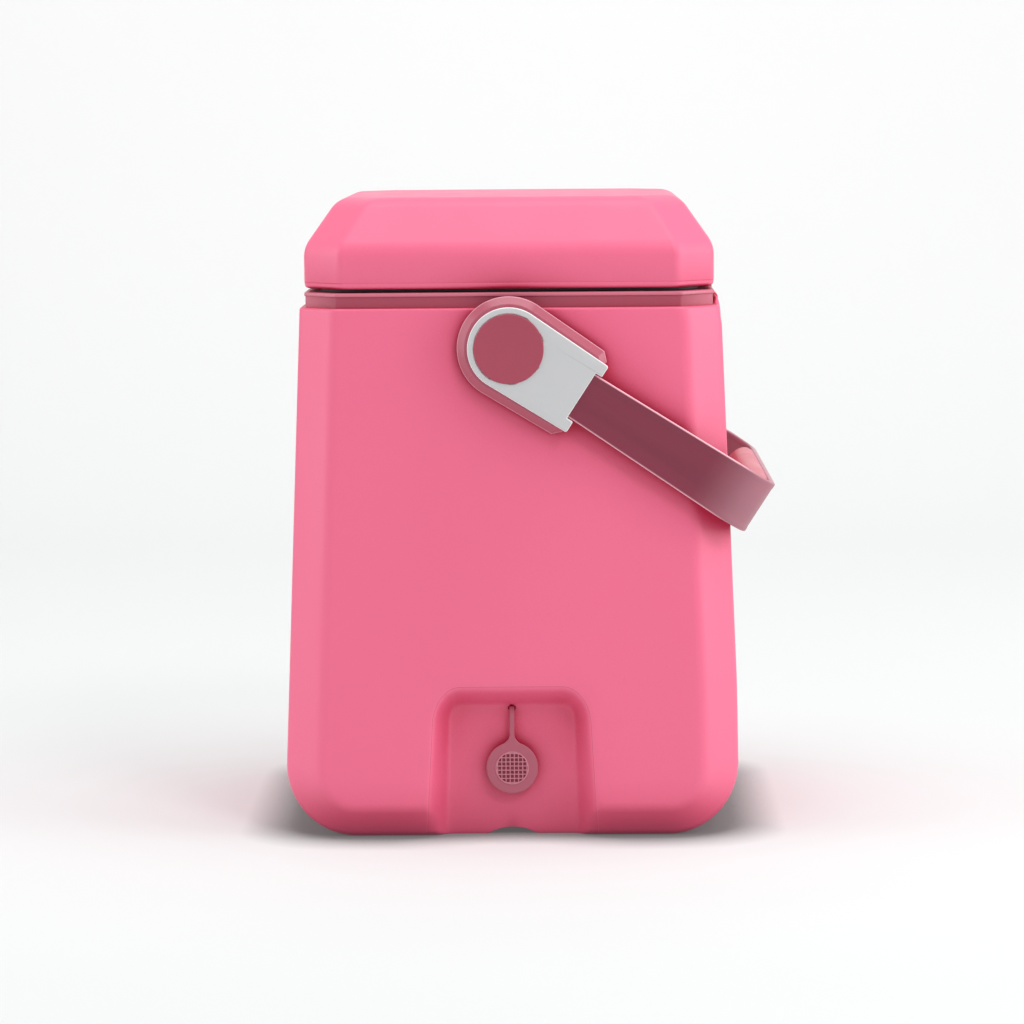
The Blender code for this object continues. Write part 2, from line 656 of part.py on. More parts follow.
def make_pivot(name, side):
    """One pivot: housing, cover plate and cap turn with the bail, and the rest stays on the body."""
    origin = (0.0, 0.0, PIVOT_Z)
    back, front = side * HOUSING_BACK, side * HOUSING_FRONT
    wall = side * (HOUSING_FRONT - 0.0050)
    rings = []
    for radius, y in ((HOUSING_RADIUS, back), (HOUSING_RADIUS, wall), (HOUSING_TOP_RADIUS, front)):
        outline = hub_outline(radius, radius - 0.0018, HOUSING_END)
        rings.append([bail_point(u, v, y) for u, v in outline])
    housing = place("pivot_housing_" + name, loft(rings), "rose", origin)
    channel_half = STRAP_HALF_NEAR + GAP
    channel = [(STRAP_START - GAP, -channel_half), (STRAP_START - GAP, channel_half),
               (0.07, channel_half + 0.0003), (0.07, -channel_half - 0.0003)]
    floor = side * (ARM_OUTER - STRAP_THICKNESS - GAP)
    cuts = [
        place("channel", bail_prism(channel, floor, side * 0.16)),
        place("hub_bore", cylinder_y(BUSH_RADIUS + GAP, side * 0.13, side * 0.16, 0.0, PIVOT_Z)),
        place("head_space", cylinder_y(PIVOT_HEAD_RADIUS + 0.0022, side * 0.1464, side * 0.16, 0.0, PIVOT_Z)),
    ]
    for across in (-CLAMP_ACROSS, CLAMP_ACROSS):
        cuts.append(place("clamp_hole", clamp_rod(CLAMP_HOLE, across, side, 0.1432, 0.160)))
    combine(housing, cuts)

    plate_back = HOUSING_FRONT + GAP
    plate_front = plate_back + PLATE_THICKNESS
    slot = STRAP_HALF_NEAR + 0.0008
    outline = hub_outline(PLATE_RADIUS, PLATE_RADIUS - 0.0016, PLATE_TIP)
    plate = place("pivot_plate_" + name, bail_prism(outline, side * plate_back, side * plate_front),
                  "light_grey", origin)
    notch = [(PLATE_SLOT_END, -slot), (PLATE_SLOT_END, slot), (0.08, slot), (0.08, -slot)]
    run = [(STRAP_START - 0.001, -slot), (STRAP_START - 0.001, slot), (0.08, slot), (0.08, -slot)]
    strap_top = ARM_OUTER + GAP
    dish = cylinder_y(CAP_RADIUS + GAP, side * (plate_front - 0.0010), side * 0.17, 0.0, PIVOT_Z, 48)
    combine(plate, [
        place("plate_notch", bail_prism(notch, side * 0.14, side * 0.17)),
        place("plate_run", bail_prism(run, side * 0.14, side * strap_top)),
        place("cap_seat", dish),
        place("screw_access", cylinder_y(PIVOT_HEAD_RADIUS + 0.0004, side * 0.14, side * 0.17, 0.0, PIVOT_Z)),
    ])

    cap_back = plate_front - 0.0010 + GAP
    cap = turned_y([(0.0, 0.0), (CAP_RADIUS, side * cap_back), (CAP_RADIUS, side * (cap_back + 0.0012)),
                    (CAP_RADIUS - 0.0008, side * (cap_back + CAP_THICKNESS + 0.0004)), (0.0, 0.0)],
                   0.0, PIVOT_Z, 48)
    place("pivot_cap_" + name, cap, "rose", origin)

    for label, across in (("upper", CLAMP_ACROSS), ("lower", -CLAMP_ACROSS)):
        place(f"clamp_screw_{label}_{name}", clamp_rod(CLAMP_SHANK, across, side, 0.1438, 0.1519), "steel", origin)

    bore = PIVOT_SCREW_RADIUS + GAP
    bush = turned_y([(bore, side * 0.1416), (BUSH_RADIUS, side * 0.1416), (BUSH_RADIUS, side * 0.1466),
                     (bore, side * 0.1466)], 0.0, PIVOT_Z)
    place("pivot_bush_" + name, bush, "acetal", origin)
    screw = turned_y([(0.0, 0.0), (PIVOT_SCREW_RADIUS, side * 0.1240), (PIVOT_SCREW_RADIUS, side * 0.1469),
                      (PIVOT_HEAD_RADIUS, side * 0.1469), (PIVOT_HEAD_RADIUS, side * 0.1499),
                      (PIVOT_HEAD_RADIUS - 0.0010, side * 0.1507), (0.0, 0.0)], 0.0, PIVOT_Z)
    place("pivot_screw_" + name, screw, "steel", origin)
    nut_front = body_half(PIVOT_Z) - SHELL_WALL - 0.0045
    nut = turned_y([(bore, side * 0.1245), (NUT_PLATE_RADIUS, side * 0.1245), (NUT_PLATE_RADIUS, side * nut_front),
                    (bore, side * nut_front)], 0.0, PIVOT_Z)
    place("pivot_nut_plate_" + name, nut, "steel", origin)


# ---- drain ----

def make_drain():
    wall = RECESS_BACK
    seal = turned_y([(SPOUT_RADIUS + GAP, -wall - GAP), (0.0128, -wall - GAP), (0.0128, -wall - 0.0015),
                     (SPOUT_RADIUS + GAP, -wall - 0.0015)], 0.0, DRAIN_Z)
    place("drain_seal", seal, "rubber")
    fitting = turned_y([
        (SPOUT_BORE, -wall - 0.0042), (0.0135, -wall - 0.0042), (0.0135, -wall - 0.0018),
        (SPOUT_RADIUS, -wall - 0.0018), (SPOUT_RADIUS, -0.1050), (SPOUT_BORE, -0.1050),
    ], 0.0, DRAIN_Z)
    place("drain_fitting", fitting, "liner_white")
    inside = tub_half(DRAIN_Z)
    near, far = -inside + 0.0008, -inside + 0.0048
    nut = place("drain_nut", cylinder_y(DRAIN_NUT_RADIUS, near, far, 0.0, DRAIN_Z, 6), "liner_white")
    bore = cylinder_y(SPOUT_RADIUS + GAP, near - 0.01, far + 0.01, 0.0, DRAIN_Z)
    combine(nut, [place("nut_bore", bore)])
    head_back = wall + 0.0042 + GAP
    stem = SPOUT_BORE - GAP
    plug = place("drain_plug", turned_y([
        (0.0, 0.0), (stem - 0.0012, -0.1180), (stem, -0.1196), (stem, -head_back),
        (PLUG_RADIUS - 0.0008, -head_back), (PLUG_RADIUS, -head_back - 0.0008),
        (PLUG_RADIUS, -PLUG_FACE + 0.0004), (PLUG_RADIUS - 0.0008, -PLUG_FACE), (0.0, 0.0),
    ], 0.0, DRAIN_Z, 40), "rubber", (0.0, -PLUG_FACE, DRAIN_Z))
    neck = []
    steps = 6
    for k in range(steps + 1):
        share = k / steps
        z = DRAIN_Z + PLUG_RADIUS * 0.80 + share * 0.0082
        half = TETHER_WIDTH / 2 + 0.0080 * (1 - share) ** 2
        neck.append((half, z))
    outline = neck + [(-x, z) for x, z in reversed(neck)]
    bm = loft([[(x, y, z) for x, z in outline] for y in (-head_back, -PLUG_FACE)])
    combine(plug, [place("neck", bm)], "UNION")

    foot = neck[-1][1] + GAP
    half = TETHER_WIDTH / 2
    tether_back = head_back + 0.0004
    level = TETHER_TOP - 0.0006
    path = [(tether_back, foot), (tether_back, level - 0.0080), (tether_back - 0.0008, level - 0.0042),
            (tether_back - 0.0030, level - 0.0012), (tether_back - 0.0062, level), (0.1245, level)]
    thick = 0.0018
    rings = []
    for k, (y, z) in enumerate(path):
        ahead = path[min(k + 1, len(path) - 1)]
        behind = path[max(k - 1, 0)]
        dy, dz = ahead[0] - behind[0], ahead[1] - behind[1]
        size = math.hypot(dy, dz)
        ny, nz = dz / size, -dy / size
        ring = [(-half, -y, z), (half, -y, z),
                (half, -(y + ny * thick), z + nz * thick), (-half, -(y + ny * thick), z + nz * thick)]
        rings.append(ring)
    tether = place("plug_tether", loft(rings), "rubber")
    knob = cylinder_y(0.0045, -0.1262, -0.1225, 0.0, TETHER_TOP, 16)
    combine(tether, [place("knob", knob)], "UNION")


def main():
    clear_scene()
    make_outer_shell()
    make_inner_liner()
    make_body_foam()
    make_collar_ring()
    make_lid_shell()
    make_lid_liner()
    make_lid_foam()
    make_lid_gasket()
    make_hinge()
    make_bail_strap()
    make_bail_grip()
    make_pivot("front", -1)
    make_pivot("back", 1)
    make_drain()


main()
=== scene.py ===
"""Looks of the insulated beverage cooler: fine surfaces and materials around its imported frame.

Metres, +Z up, the drain side faces -Y, and the lid's hinge and the lowered bail are on the +X side.
Every new piece is one or more grids of points worked out from formulas and welded into one mesh.
"""
import json
import math

import bmesh
import bpy
import numpy as np
from mathutils import Matrix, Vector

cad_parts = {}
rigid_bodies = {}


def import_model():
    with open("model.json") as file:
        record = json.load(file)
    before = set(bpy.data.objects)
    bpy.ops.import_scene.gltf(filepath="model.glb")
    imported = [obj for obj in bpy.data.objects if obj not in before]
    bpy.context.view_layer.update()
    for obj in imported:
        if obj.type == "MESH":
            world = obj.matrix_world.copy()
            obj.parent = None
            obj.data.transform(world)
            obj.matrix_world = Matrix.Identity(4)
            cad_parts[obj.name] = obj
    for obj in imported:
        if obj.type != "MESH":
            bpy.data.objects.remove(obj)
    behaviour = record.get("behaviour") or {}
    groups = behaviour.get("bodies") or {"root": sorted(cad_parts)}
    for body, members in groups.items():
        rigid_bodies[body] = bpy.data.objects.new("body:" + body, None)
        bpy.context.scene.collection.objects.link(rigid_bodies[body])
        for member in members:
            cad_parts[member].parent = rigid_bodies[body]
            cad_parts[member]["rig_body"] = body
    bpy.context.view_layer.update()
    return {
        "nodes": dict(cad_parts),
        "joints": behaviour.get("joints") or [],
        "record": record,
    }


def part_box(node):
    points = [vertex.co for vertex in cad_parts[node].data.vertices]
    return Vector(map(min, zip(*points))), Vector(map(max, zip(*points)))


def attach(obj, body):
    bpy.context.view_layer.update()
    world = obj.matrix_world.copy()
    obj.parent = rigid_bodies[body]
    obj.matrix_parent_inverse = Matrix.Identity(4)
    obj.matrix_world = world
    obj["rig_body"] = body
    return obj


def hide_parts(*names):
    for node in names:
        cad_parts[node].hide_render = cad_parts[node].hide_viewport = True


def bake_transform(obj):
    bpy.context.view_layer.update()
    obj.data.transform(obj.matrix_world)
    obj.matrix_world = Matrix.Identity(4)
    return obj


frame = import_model()
JOINTS = {joint["name"]: joint for joint in frame["joints"]}
SIDES = ((-1, "front"), (1, "back"))

# ---- the body's form ----
BODY_TOP = 0.348
BODY_HALF_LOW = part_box("outer_shell")[1].x - 0.0001
BODY_LOW_Z = 0.045
BODY_TAPER = 0.0383
FOOT_RADIUS = 0.046
SIDE_BEVEL = 0.0230
SIDE_BEVEL_DEPTH = 0.0215
FOOT_BEVEL = 0.020
FOOT_BEVEL_DEPTH = 0.013
PANEL_SOFT = 0.014
EDGE_SOFT = 0.009
RIM_SOFT = 0.0016
SIDE_BOW = 0.00145
SIDE_STOPS = np.array([1.0, 0.75, 0.5, 0.25, 0.0])
SIDE_FLAT_START = 0.012
SHELL_WALL = 0.003
SHELL_FLOOR = 0.010
UNLIMITED = 0.2
BEHIND_RECESS = 0.1240
BACK_REACH_LOW = 0.133
# height of each row of the inner skin, and how far it may reach to the front and to the sides
INNER_ROWS = ((BODY_TOP, UNLIMITED, UNLIMITED), (0.130, UNLIMITED, UNLIMITED),
              (0.112, BEHIND_RECESS, UNLIMITED), (0.036, BEHIND_RECESS, 0.137),
              (SHELL_FLOOR, BEHIND_RECESS, 0.108))
BOSS_RADIUS = 0.0200
BOSS_BORE = 0.0062

# ---- the drain recess and the plug ----
RECESS_BACK = 0.130
RECESS_DEPTH = 0.0175
RECESS_TOP = 0.0983
RECESS_BACK_TOP = 0.0865
RECESS_HALF = (0.0495, 0.0555)
RECESS_BACK_HALF = (0.0408, 0.0440)
RECESS_CORNER = 0.85
RECESS_FOOT_SOFT = 0.05
RECESS_LIP_SOFT = 0.0042
RECESS_LIP_END = 3.0
NOTCH_RADIUS = 0.030
NOTCH_HEIGHT = 0.0045
NOTCH_END = 0.085
PLUG_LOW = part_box("drain_plug")[0]
PLUG_Z = PLUG_LOW.z + 0.017
PLUG_RADIUS = 0.017
PLUG_FACE = -PLUG_LOW.y
PLUG_BACK = 0.1345
PLUG_DISC = 0.0112
PLUG_EDGE = 0.0006
PLUG_STEM = 0.0061
PLUG_STEM_END = 0.1180
WAFFLE_PITCH = 0.00275
WAFFLE_RAISE = 0.00045
WAFFLE_SINK = 0.00090
BORE_DEPTH = 0.017
TETHER_WIDTH = 0.0032
TETHER_THICKNESS = 0.0018
TETHER_HOLE_Z = 0.0840
TETHER_HOLE = (0.0016, 0.0017)
TETHER_HOLE_DEPTH = 0.007
TETHER_END = 0.1235
NECK_HEIGHT = 0.0218

# ---- the lid, its collar and its hinge ----
LID_LOW, LID_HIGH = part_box("lid_shell")
LID_WALL = 0.003
LID_UPRIGHT_TOP = 0.3869
LID_FLAT_HALF = 0.1122
LID_CUT = 0.0240
LID_CUT_TAPER = 0.107
LID_CORNER = 0.0085
LID_SLOT_TOP = 0.3643
COLLAR_CUT = 0.0215
COLLAR_CORNER = 0.0030
COLLAR_LIP = 0.0028
COLLAR_MOUTH = 0.1165
COLLAR_TOP_WALL = 0.003
COLLAR_SIDE_WALL = 0.0026
COLLAR_LOW, COLLAR_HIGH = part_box("collar_ring")
HINGE_X, _, HINGE_Z = JOINTS["lid_hinge"]["pos_m"]
KNUCKLE_RADIUS = 0.0042
PIN_RADIUS = 0.0019
ARM_REACH = 0.030
ARM_LEFT = HINGE_X - 0.0022
ARM_RIGHT = HINGE_X + 0.0012
ARM_STEP_Z = 0.3586
ARM_SHELF_Z = 0.3640
ARM_TOP_Z = 0.3760
ARM_FACE_X = 0.1312
POCKET_HALF = 0.0641
POCKET_X = 0.1303
CHEEK_LOW = 0.3370
CHEEK_TOP = 0.3524
CHEEK_LEAN = 0.0032
CHEEK_END = 0.1085
KNUCKLE_REACH = 0.062

# ---- the bail ----
PIVOT_Z = JOINTS["bail_swing"]["pos_m"][2]
BAIL_DROP = math.radians(33.1)
BAIL_REACH = 0.1955
ARM_OUTER = 0.152
STRAP_THICKNESS = 0.0045
STRAP_EDGE = 0.0013
STRAP_HOLLOW = 0.00025
STRAP_TAPER_START = 0.06
STRAP_HALF = (0.0165, 0.0187)
STRAP_START = 0.021
BEND_RADIUS = 0.024
GRIP_HALF_LENGTH = 0.116
GRIP_HALF_WIDTH = 0.0180
GRIP_DEPTH = 0.0126
GRIP_SCREW_Y = 0.070
DIMPLE_DEPTH = 0.0022
HOUSING_BACK = 0.1418
HOUSING_FRONT = 0.1500
HOUSING_RADIUS = 0.0338
HOUSING_END = 0.0583
HOUSING_LIP = 0.1452
HOUSING_SLOPE = 0.0048
HOUSING_INNER = 0.0078
HOUSING_SLOT_HALF = 0.0172
HOUSING_FLOOR = 0.1471
PLATE_RADIUS = 0.0270
PLATE_BACK = 0.1503
PLATE_FRONT = 0.1535
PLATE_SLOT_END = 0.0560
PLATE_TIP = 0.0607
PLATE_SLOT_HALF = 0.0173
PLATE_EDGE = 0.0008
PLATE_HOLE = 0.0122
CAP_RADIUS = 0.0227
CAP_FACE = 0.1544
CAP_CROWN = 0.00015


# ---- surfaces: helpers ----

def body_half(z):
    """Half-width and half-depth of the tapered walls at height z: a straight line in z."""
    return BODY_HALF_LOW - BODY_TAPER * (z - BODY_LOW_Z)


def smooth_step(low, high, value):
    """Rises from 0 at low to 1 at high along 3t^2 - 2t^3."""
    t = np.clip((value - low) / (high - low), 0.0, 1.0)
    return t * t * (3 - 2 * t)


def soft_max(a, b, soft):
    """The larger of two values, rounded where they meet: (a + b + sqrt((a - b)^2 + soft^2)) / 2."""
    return (a + b + np.sqrt((a - b) ** 2 + soft ** 2)) / 2


def corner_arc(before, corner, after, radius, steps):
    """Points along the arc of the given radius that is tangent to both sides of a corner.

    With u and v the unit vectors from the corner to its neighbours and h half the angle between them,
    the arc starts radius / tan(h) along u, ends as far along v, and its centre is radius / sin(h)
    from the corner. Arrays of corners give one row of points each.
    """
    before, corner, after = (np.asarray(p, float) for p in (before, corner, after))
    u = before - corner
    v = after - corner
    u = u / np.linalg.norm(u, axis=-1, keepdims=True)
    v = v / np.linalg.norm(v, axis=-1, keepdims=True)
    half = np.arccos(np.clip((u * v).sum(-1, keepdims=True), -1, 1)) / 2
    radius = np.broadcast_to(np.asarray(radius, float), half.shape[:-1])[..., None]
    start = corner + u * radius / np.tan(half)
    end = corner + v * radius / np.tan(half)
    middle = (u + v) / np.linalg.norm(u + v, axis=-1, keepdims=True)
    centre = corner + middle * radius / np.sin(half)
    sweep = math.pi - 2 * half[..., None, :]
    share = np.linspace(0.0, 1.0, steps)[:, None]
    arms = np.sin((1 - share) * sweep), np.sin(share * sweep)
    arms = [arm / np.sin(sweep) for arm in arms]
    centre = centre[..., None, :]
    return centre + arms[0] * (start[..., None, :] - centre) + arms[1] * (end[..., None, :] - centre)


def soft_path(corners, radii, steps=6, closed=False):
    """A polyline with each corner turned into an arc; an open one keeps its two ends."""
    corners = np.asarray(corners, float)
    before, after = np.roll(corners, 1, axis=0), np.roll(corners, -1, axis=0)
    radii = np.broadcast_to(np.asarray(radii, float), len(corners))
    if closed:
        return corner_arc(before, corners, after, radii, steps).reshape(-1, 2)
    inner = corner_arc(before[1:-1], corners[1:-1], after[1:-1], radii[1:-1], steps).reshape(-1, 2)
    return np.concatenate([corners[:1], inner, corners[-1:]])


def spaced(stops, counts):
    """Values that run through the stops, with the given count of equal steps between each two."""
    parts = [np.linspace(a, b, n, endpoint=False) for a, b, n in zip(stops, stops[1:], counts)]
    return np.concatenate(parts + [[stops[-1]]])


def square_rings(half, chamfer, soft, stops, steps=7):
    """Rings of a square with cut corners: sides at distance half, cuts of chamfer, and arcs of radius
    soft at both ends of each cut. Stops are extra points along every side. One ring for each row."""
    sizes = [np.atleast_1d(np.asarray(value, float)) for value in (half, chamfer, soft)]
    half, chamfer, soft = np.broadcast_arrays(*sizes)
    flat = half - chamfer
    near = np.stack([half, flat], axis=-1)
    far = np.stack([flat, half], axis=-1)
    stops = np.asarray(stops, float)
    side = np.stack(np.broadcast_arrays(half[:, None], stops), axis=-1)
    arcs = [corner_arc(near * (1, -1), near, far, soft, steps),
            corner_arc(near, far, far * (-1, 1), soft, steps)]
    quarter = np.concatenate([side, *arcs], axis=1)
    turns = [np.array([[c, -s], [s, c]]) for c, s in ((1, 0), (0, 1), (-1, 0), (0, -1))]
    return np.concatenate([quarter @ turn.T for turn in turns], axis=1)


def at_heights(rings, heights):
    """Puts each ring of (x, y) points at its height."""
    z = np.broadcast_to(np.asarray(heights, float)[:, None], rings.shape[:2])
    return np.concatenate([rings, z[..., None]], axis=-1)


def to_centre(ring, point, rows=3):
    """Rows from a ring to one point, which close a flat or domed end: ring + share * (point - ring)."""
    share = np.linspace(0.0, 1.0, rows + 1)[1:, None, None]
    return ring[None] + share * (np.asarray(point, float) - ring[None])


def capped(grid):
    """A tube's grid of rings with both ends closed onto their middle points."""
    low, high = (to_centre(grid[end], grid[end].mean(axis=0), 1) for end in (0, -1))
    return np.concatenate([low[::-1], grid, high])


def grid_quads(rows, columns, wrap, first):
    """The corner numbers of the quads between neighbouring rows and columns of a grid."""
    index = first + np.arange(rows * columns).reshape(rows, columns)
    if wrap:
        index = np.concatenate([index, index[:, :1]], axis=1)
    quads = (index[:-1, :-1], index[:-1, 1:], index[1:, 1:], index[1:, :-1])
    return np.stack(quads, axis=-1).reshape(-1, 4)


def make_piece(name, patches, finish, body, stands_for=(), sharp=38.0):
    """One welded mesh from patches of (grid of points, whether its columns close), riding on a body.

    It wears the given finish, stands for the named nodes, and stays sharp past an angle in degrees.
    """
    points, quads, first = [], [], 0
    for grid, wrap in patches:
        rows, columns = grid.shape[:2]
        quads.append(grid_quads(rows, columns, wrap, first))
        points.append(grid.reshape(-1, 3))
        first += rows * columns
    mesh = bpy.data.meshes.new(name)
    mesh.from_pydata(np.concatenate(points).tolist(), [], np.concatenate(quads).tolist())
    bm = bmesh.new()
    bm.from_mesh(mesh)
    bmesh.ops.remove_doubles(bm, verts=bm.verts, dist=1.5e-6)
    bmesh.ops.recalc_face_normals(bm, faces=bm.faces)
    bm.to_mesh(mesh)
    bm.free()
    mesh.shade_smooth()
    mesh.set_sharp_from_angle(angle=math.radians(sharp))
    mesh.materials.append(finish)
    piece = bpy.data.objects.new(name, mesh)
    bpy.context.scene.collection.objects.link(piece)
    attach(piece, body)
    if stands_for:
        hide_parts(*stands_for)
    return piece


def turned(profile, centre, side, columns=96):
    """Turns (radius, y) points about the Y axis through centre = (x, z); a zero radius is a pole.

    The side is 1 for the back and -1 for the front, where y runs the other way.
    """
    profile = np.asarray(profile, float)
    turn = np.linspace(0, 2 * math.pi, columns, endpoint=False)
    radius, along = profile[:, :1], np.broadcast_to(profile[:, 1:], (len(profile), columns))
    return np.stack([centre[0] + radius * np.cos(turn), side * along,
                     centre[1] + radius * np.sin(turn)], axis=-1)


def on_bail(along, across, y):
    """Points of the lowered bail, from distances along its arm and across it, turned down by BAIL_DROP."""
    c, s = math.cos(BAIL_DROP), math.sin(BAIL_DROP)
    x = along * c + across * s
    z = PIVOT_Z - along * s + across * c
    return np.stack(np.broadcast_arrays(x, y, z), axis=-1)


# ---- materials ----

SPECK_SHADE = 0.86
SHEEN_SCALE = 38.0
FLOW_SCALE = 95.0
GRAIN_HEIGHT = 0.0002
FLOW_HEIGHT = 0.0008
# Painted shade: the occlusion range, strength, reach and foot fade of the shade painted into the shell's
# colour; the range also serves the floor's painted contact shadow.
OCCLUSION = (0.50, 0.985)
SHADE_STRENGTH = 0.97
SHADE_REACH = 0.040
FOOT_FADE = (0.005, 0.060)
FOOT_SHADE_SHARE = 0.40


def new_material(name):
    """An empty material with its node tree and its shader."""
    made = bpy.data.materials.new(name)
    made.use_nodes = True
    tree = made.node_tree
    return made, tree, tree.nodes["Principled BSDF"]


def add_node(tree, kind, **values):
    """A node with its properties and sockets set by name."""
    node = tree.nodes.new(kind)
    for key, value in values.items():
        if key in node.inputs:
            node.inputs[key].default_value = value
        else:
            setattr(node, key, value)
    return node


def noise(tree, scale, detail=3.0, stretch=(1.0, 1.0, 1.0), lean=0.0):
    """Noise on the piece's own coordinates, leaned about Y, then stretched where the finish flows."""
    place = add_node(tree, "ShaderNodeTexCoord")
    mapping = add_node(tree, "ShaderNodeMapping", vector_type="TEXTURE")
    mapping.inputs["Rotation"].default_value = (0.0, lean, 0.0)
    mapping.inputs["Scale"].default_value = tuple(1 / s for s in stretch)
    pattern = add_node(tree, "ShaderNodeTexNoise", Scale=scale, Detail=detail)
    tree.links.new(place.outputs["Object"], mapping.inputs["Vector"])
    tree.links.new(mapping.outputs["Vector"], pattern.inputs["Vector"])
    return pattern.outputs["Fac"]


def ranged(tree, value, low, high, start=0.3, end=0.7):
    """Carries a value from start..end to low..high."""
    node = add_node(tree, "ShaderNodeMapRange")
    for socket, number in (("From Min", start), ("From Max", end), ("To Min", low), ("To Max", high)):
        node.inputs[socket].default_value = number
    tree.links.new(value, node.inputs["Value"])
    return node.outputs["Result"]


def mixed(tree, share, first, second):
    """A colour between two; each is a colour or another node's output."""
    node = tree.nodes.new("ShaderNodeMix")
    node.data_type = "RGBA"
    sockets = [s for s in node.inputs if s.type == "RGBA"]
    tree.links.new(share, node.inputs[0])
    for socket, value in zip(sockets, (first, second)):
        if isinstance(value, bpy.types.NodeSocket):
            tree.links.new(value, socket)
        else:
            socket.default_value = (*value, 1.0)
    return next(s for s in node.outputs if s.type == "RGBA")


def moulded(name, colour, roughness, grain, mottle=0.035, streak=(1.0, 1.0, 1.0), specular=0.4,
            cloud=7.0, grit=1500.0, lean=0.0):
    """Moulded plastic or rubber: clouded colour, uneven sheen, a fine grain and a faint flow."""
    made, tree, shader = new_material(name)
    light = tuple(min(1.0, c * (1 + mottle)) for c in colour)
    dark = tuple(c * (1 - mottle) for c in colour)
    base = mixed(tree, ranged(tree, noise(tree, cloud, 4.0, streak, lean), 0.0, 1.0), dark, light)
    specks = mixed(tree, ranged(tree, noise(tree, grit * 0.7, 2.0), 0.0, 0.22, 0.55, 0.75), base,
                   tuple(c * SPECK_SHADE for c in colour))
    tree.links.new(specks, shader.inputs["Base Color"])
    sheen = noise(tree, SHEEN_SCALE, 3.0, streak, lean)
    sheen = ranged(tree, sheen, roughness - 0.04, roughness + 0.05)
    tree.links.new(sheen, shader.inputs["Roughness"])
    shader.inputs["Specular IOR Level"].default_value = specular
    fine = add_node(tree, "ShaderNodeBump", Strength=grain, Distance=GRAIN_HEIGHT)
    tree.links.new(noise(tree, grit, 2.0), fine.inputs["Height"])
    broad = add_node(tree, "ShaderNodeBump", Strength=grain * 0.5, Distance=FLOW_HEIGHT)
    tree.links.new(noise(tree, FLOW_SCALE, 2.0, streak, lean), broad.inputs["Height"])
    tree.links.new(fine.outputs["Normal"], broad.inputs["Normal"])
    tree.links.new(broad.outputs["Normal"], shader.inputs["Normal"])
    return made


def with_painted_light(slot_name, name, light, dark=None):
    """A slot's finish with painted light, by the attribute painted_light: 1 is a painted highlight on an
    edge,
    0 the face, and -1 painted shade in a pit, which takes the dark colour."""
    made = FINISHES[slot_name].copy()
    made.name = name
    tree = made.node_tree
    shader = tree.nodes["Principled BSDF"]
    edge = add_node(tree, "ShaderNodeAttribute", attribute_name="painted_light")
    colour = shader.inputs["Base Color"].links[0].from_socket
    # Mixes in the painted highlight, and after it the painted shade of the pits.
    colour = mixed(tree, ranged(tree, edge.outputs["Fac"], 0.0, 1.0, 0.0, 1.0), colour, light)
    if dark:
        colour = mixed(tree, ranged(tree, edge.outputs["Fac"], 0.0, 1.0, 0.0, -1.0), colour, dark)
    tree.links.new(colour, shader.inputs["Base Color"])
    return made


def store(piece, name, rule):
    """Keeps rule(x, y, z) of each vertex as a float attribute of the piece's mesh."""
    mesh = piece.data
    points = np.zeros(len(mesh.vertices) * 3, np.float32)
    mesh.vertices.foreach_get("co", points)
    value = np.asarray(rule(*points.reshape(-1, 3).T.astype(float)), np.float32)
    mesh.attributes.new(name, "FLOAT", "POINT").data.foreach_set("value", value)


def brushed_steel(name):
    """Steel with fine lines: noise stretched along X carries roughness and bump."""
    made, tree, shader = new_material(name)
    lines = noise(tree, 420.0, 3.0, (0.05, 1.0, 1.0))
    tree.links.new(mixed(tree, ranged(tree, lines, 0.0, 1.0), (0.50, 0.50, 0.52), (0.66, 0.66, 0.67)),
                   shader.inputs["Base Color"])
    tree.links.new(ranged(tree, lines, 0.24, 0.42), shader.inputs["Roughness"])
    shader.inputs["Metallic"].default_value = 1.0
    bump = add_node(tree, "ShaderNodeBump", Strength=0.15, Distance=0.0001)
    tree.links.new(lines, bump.inputs["Height"])
    tree.links.new(bump.outputs["Normal"], shader.inputs["Normal"])
    return made


def closed_foam(name):
    """Rigid foam: Voronoi cells carry colour and bump."""
    made, tree, shader = new_material(name)
    place = add_node(tree, "ShaderNodeTexCoord")
    cells = add_node(tree, "ShaderNodeTexVoronoi", Scale=650.0)
    tree.links.new(place.outputs["Object"], cells.inputs["Vector"])
    share = ranged(tree, cells.outputs["Distance"], 0.0, 1.0, 0.0, 0.8)
    tree.links.new(mixed(tree, share, (0.66, 0.56, 0.33), (0.82, 0.74, 0.52)), shader.inputs["Base Color"])
    shader.inputs["Roughness"].default_value = 0.9
    bump = add_node(tree, "ShaderNodeBump", Strength=0.5, Distance=0.0004)
    tree.links.new(share, bump.inputs["Height"])
    tree.links.new(bump.outputs["Normal"], shader.inputs["Normal"])
    return made


def with_painted_shade(made, shade_colour):
    """Paints shade into a finish where other surfaces stand close: occlusion within SHADE_REACH mixes in
    the shade colour, and less so near the foot, where the floor alone would darken it."""
    tree = made.node_tree
    shader = tree.nodes["Principled BSDF"]
    near = add_node(tree, "ShaderNodeAmbientOcclusion", samples=8, Distance=SHADE_REACH)
    place = add_node(tree, "ShaderNodeTexCoord")
    axes = add_node(tree, "ShaderNodeSeparateXYZ")
    tree.links.new(place.outputs["Object"], axes.inputs[0])
    weight = add_node(tree, "ShaderNodeMath", operation="MULTIPLY")
    tree.links.new(ranged(tree, near.outputs["AO"], SHADE_STRENGTH, 0.0, *OCCLUSION), weight.inputs[0])
    tree.links.new(ranged(tree, axes.outputs["Z"], FOOT_SHADE_SHARE, 1.0, *FOOT_FADE), weight.inputs[1])
    share = weight.outputs[0]
    colour = shader.inputs["Base Color"].links[0].from_socket
    tree.links.new(mixed(tree, share, colour, shade_colour), shader.inputs["Base Color"])
    return made


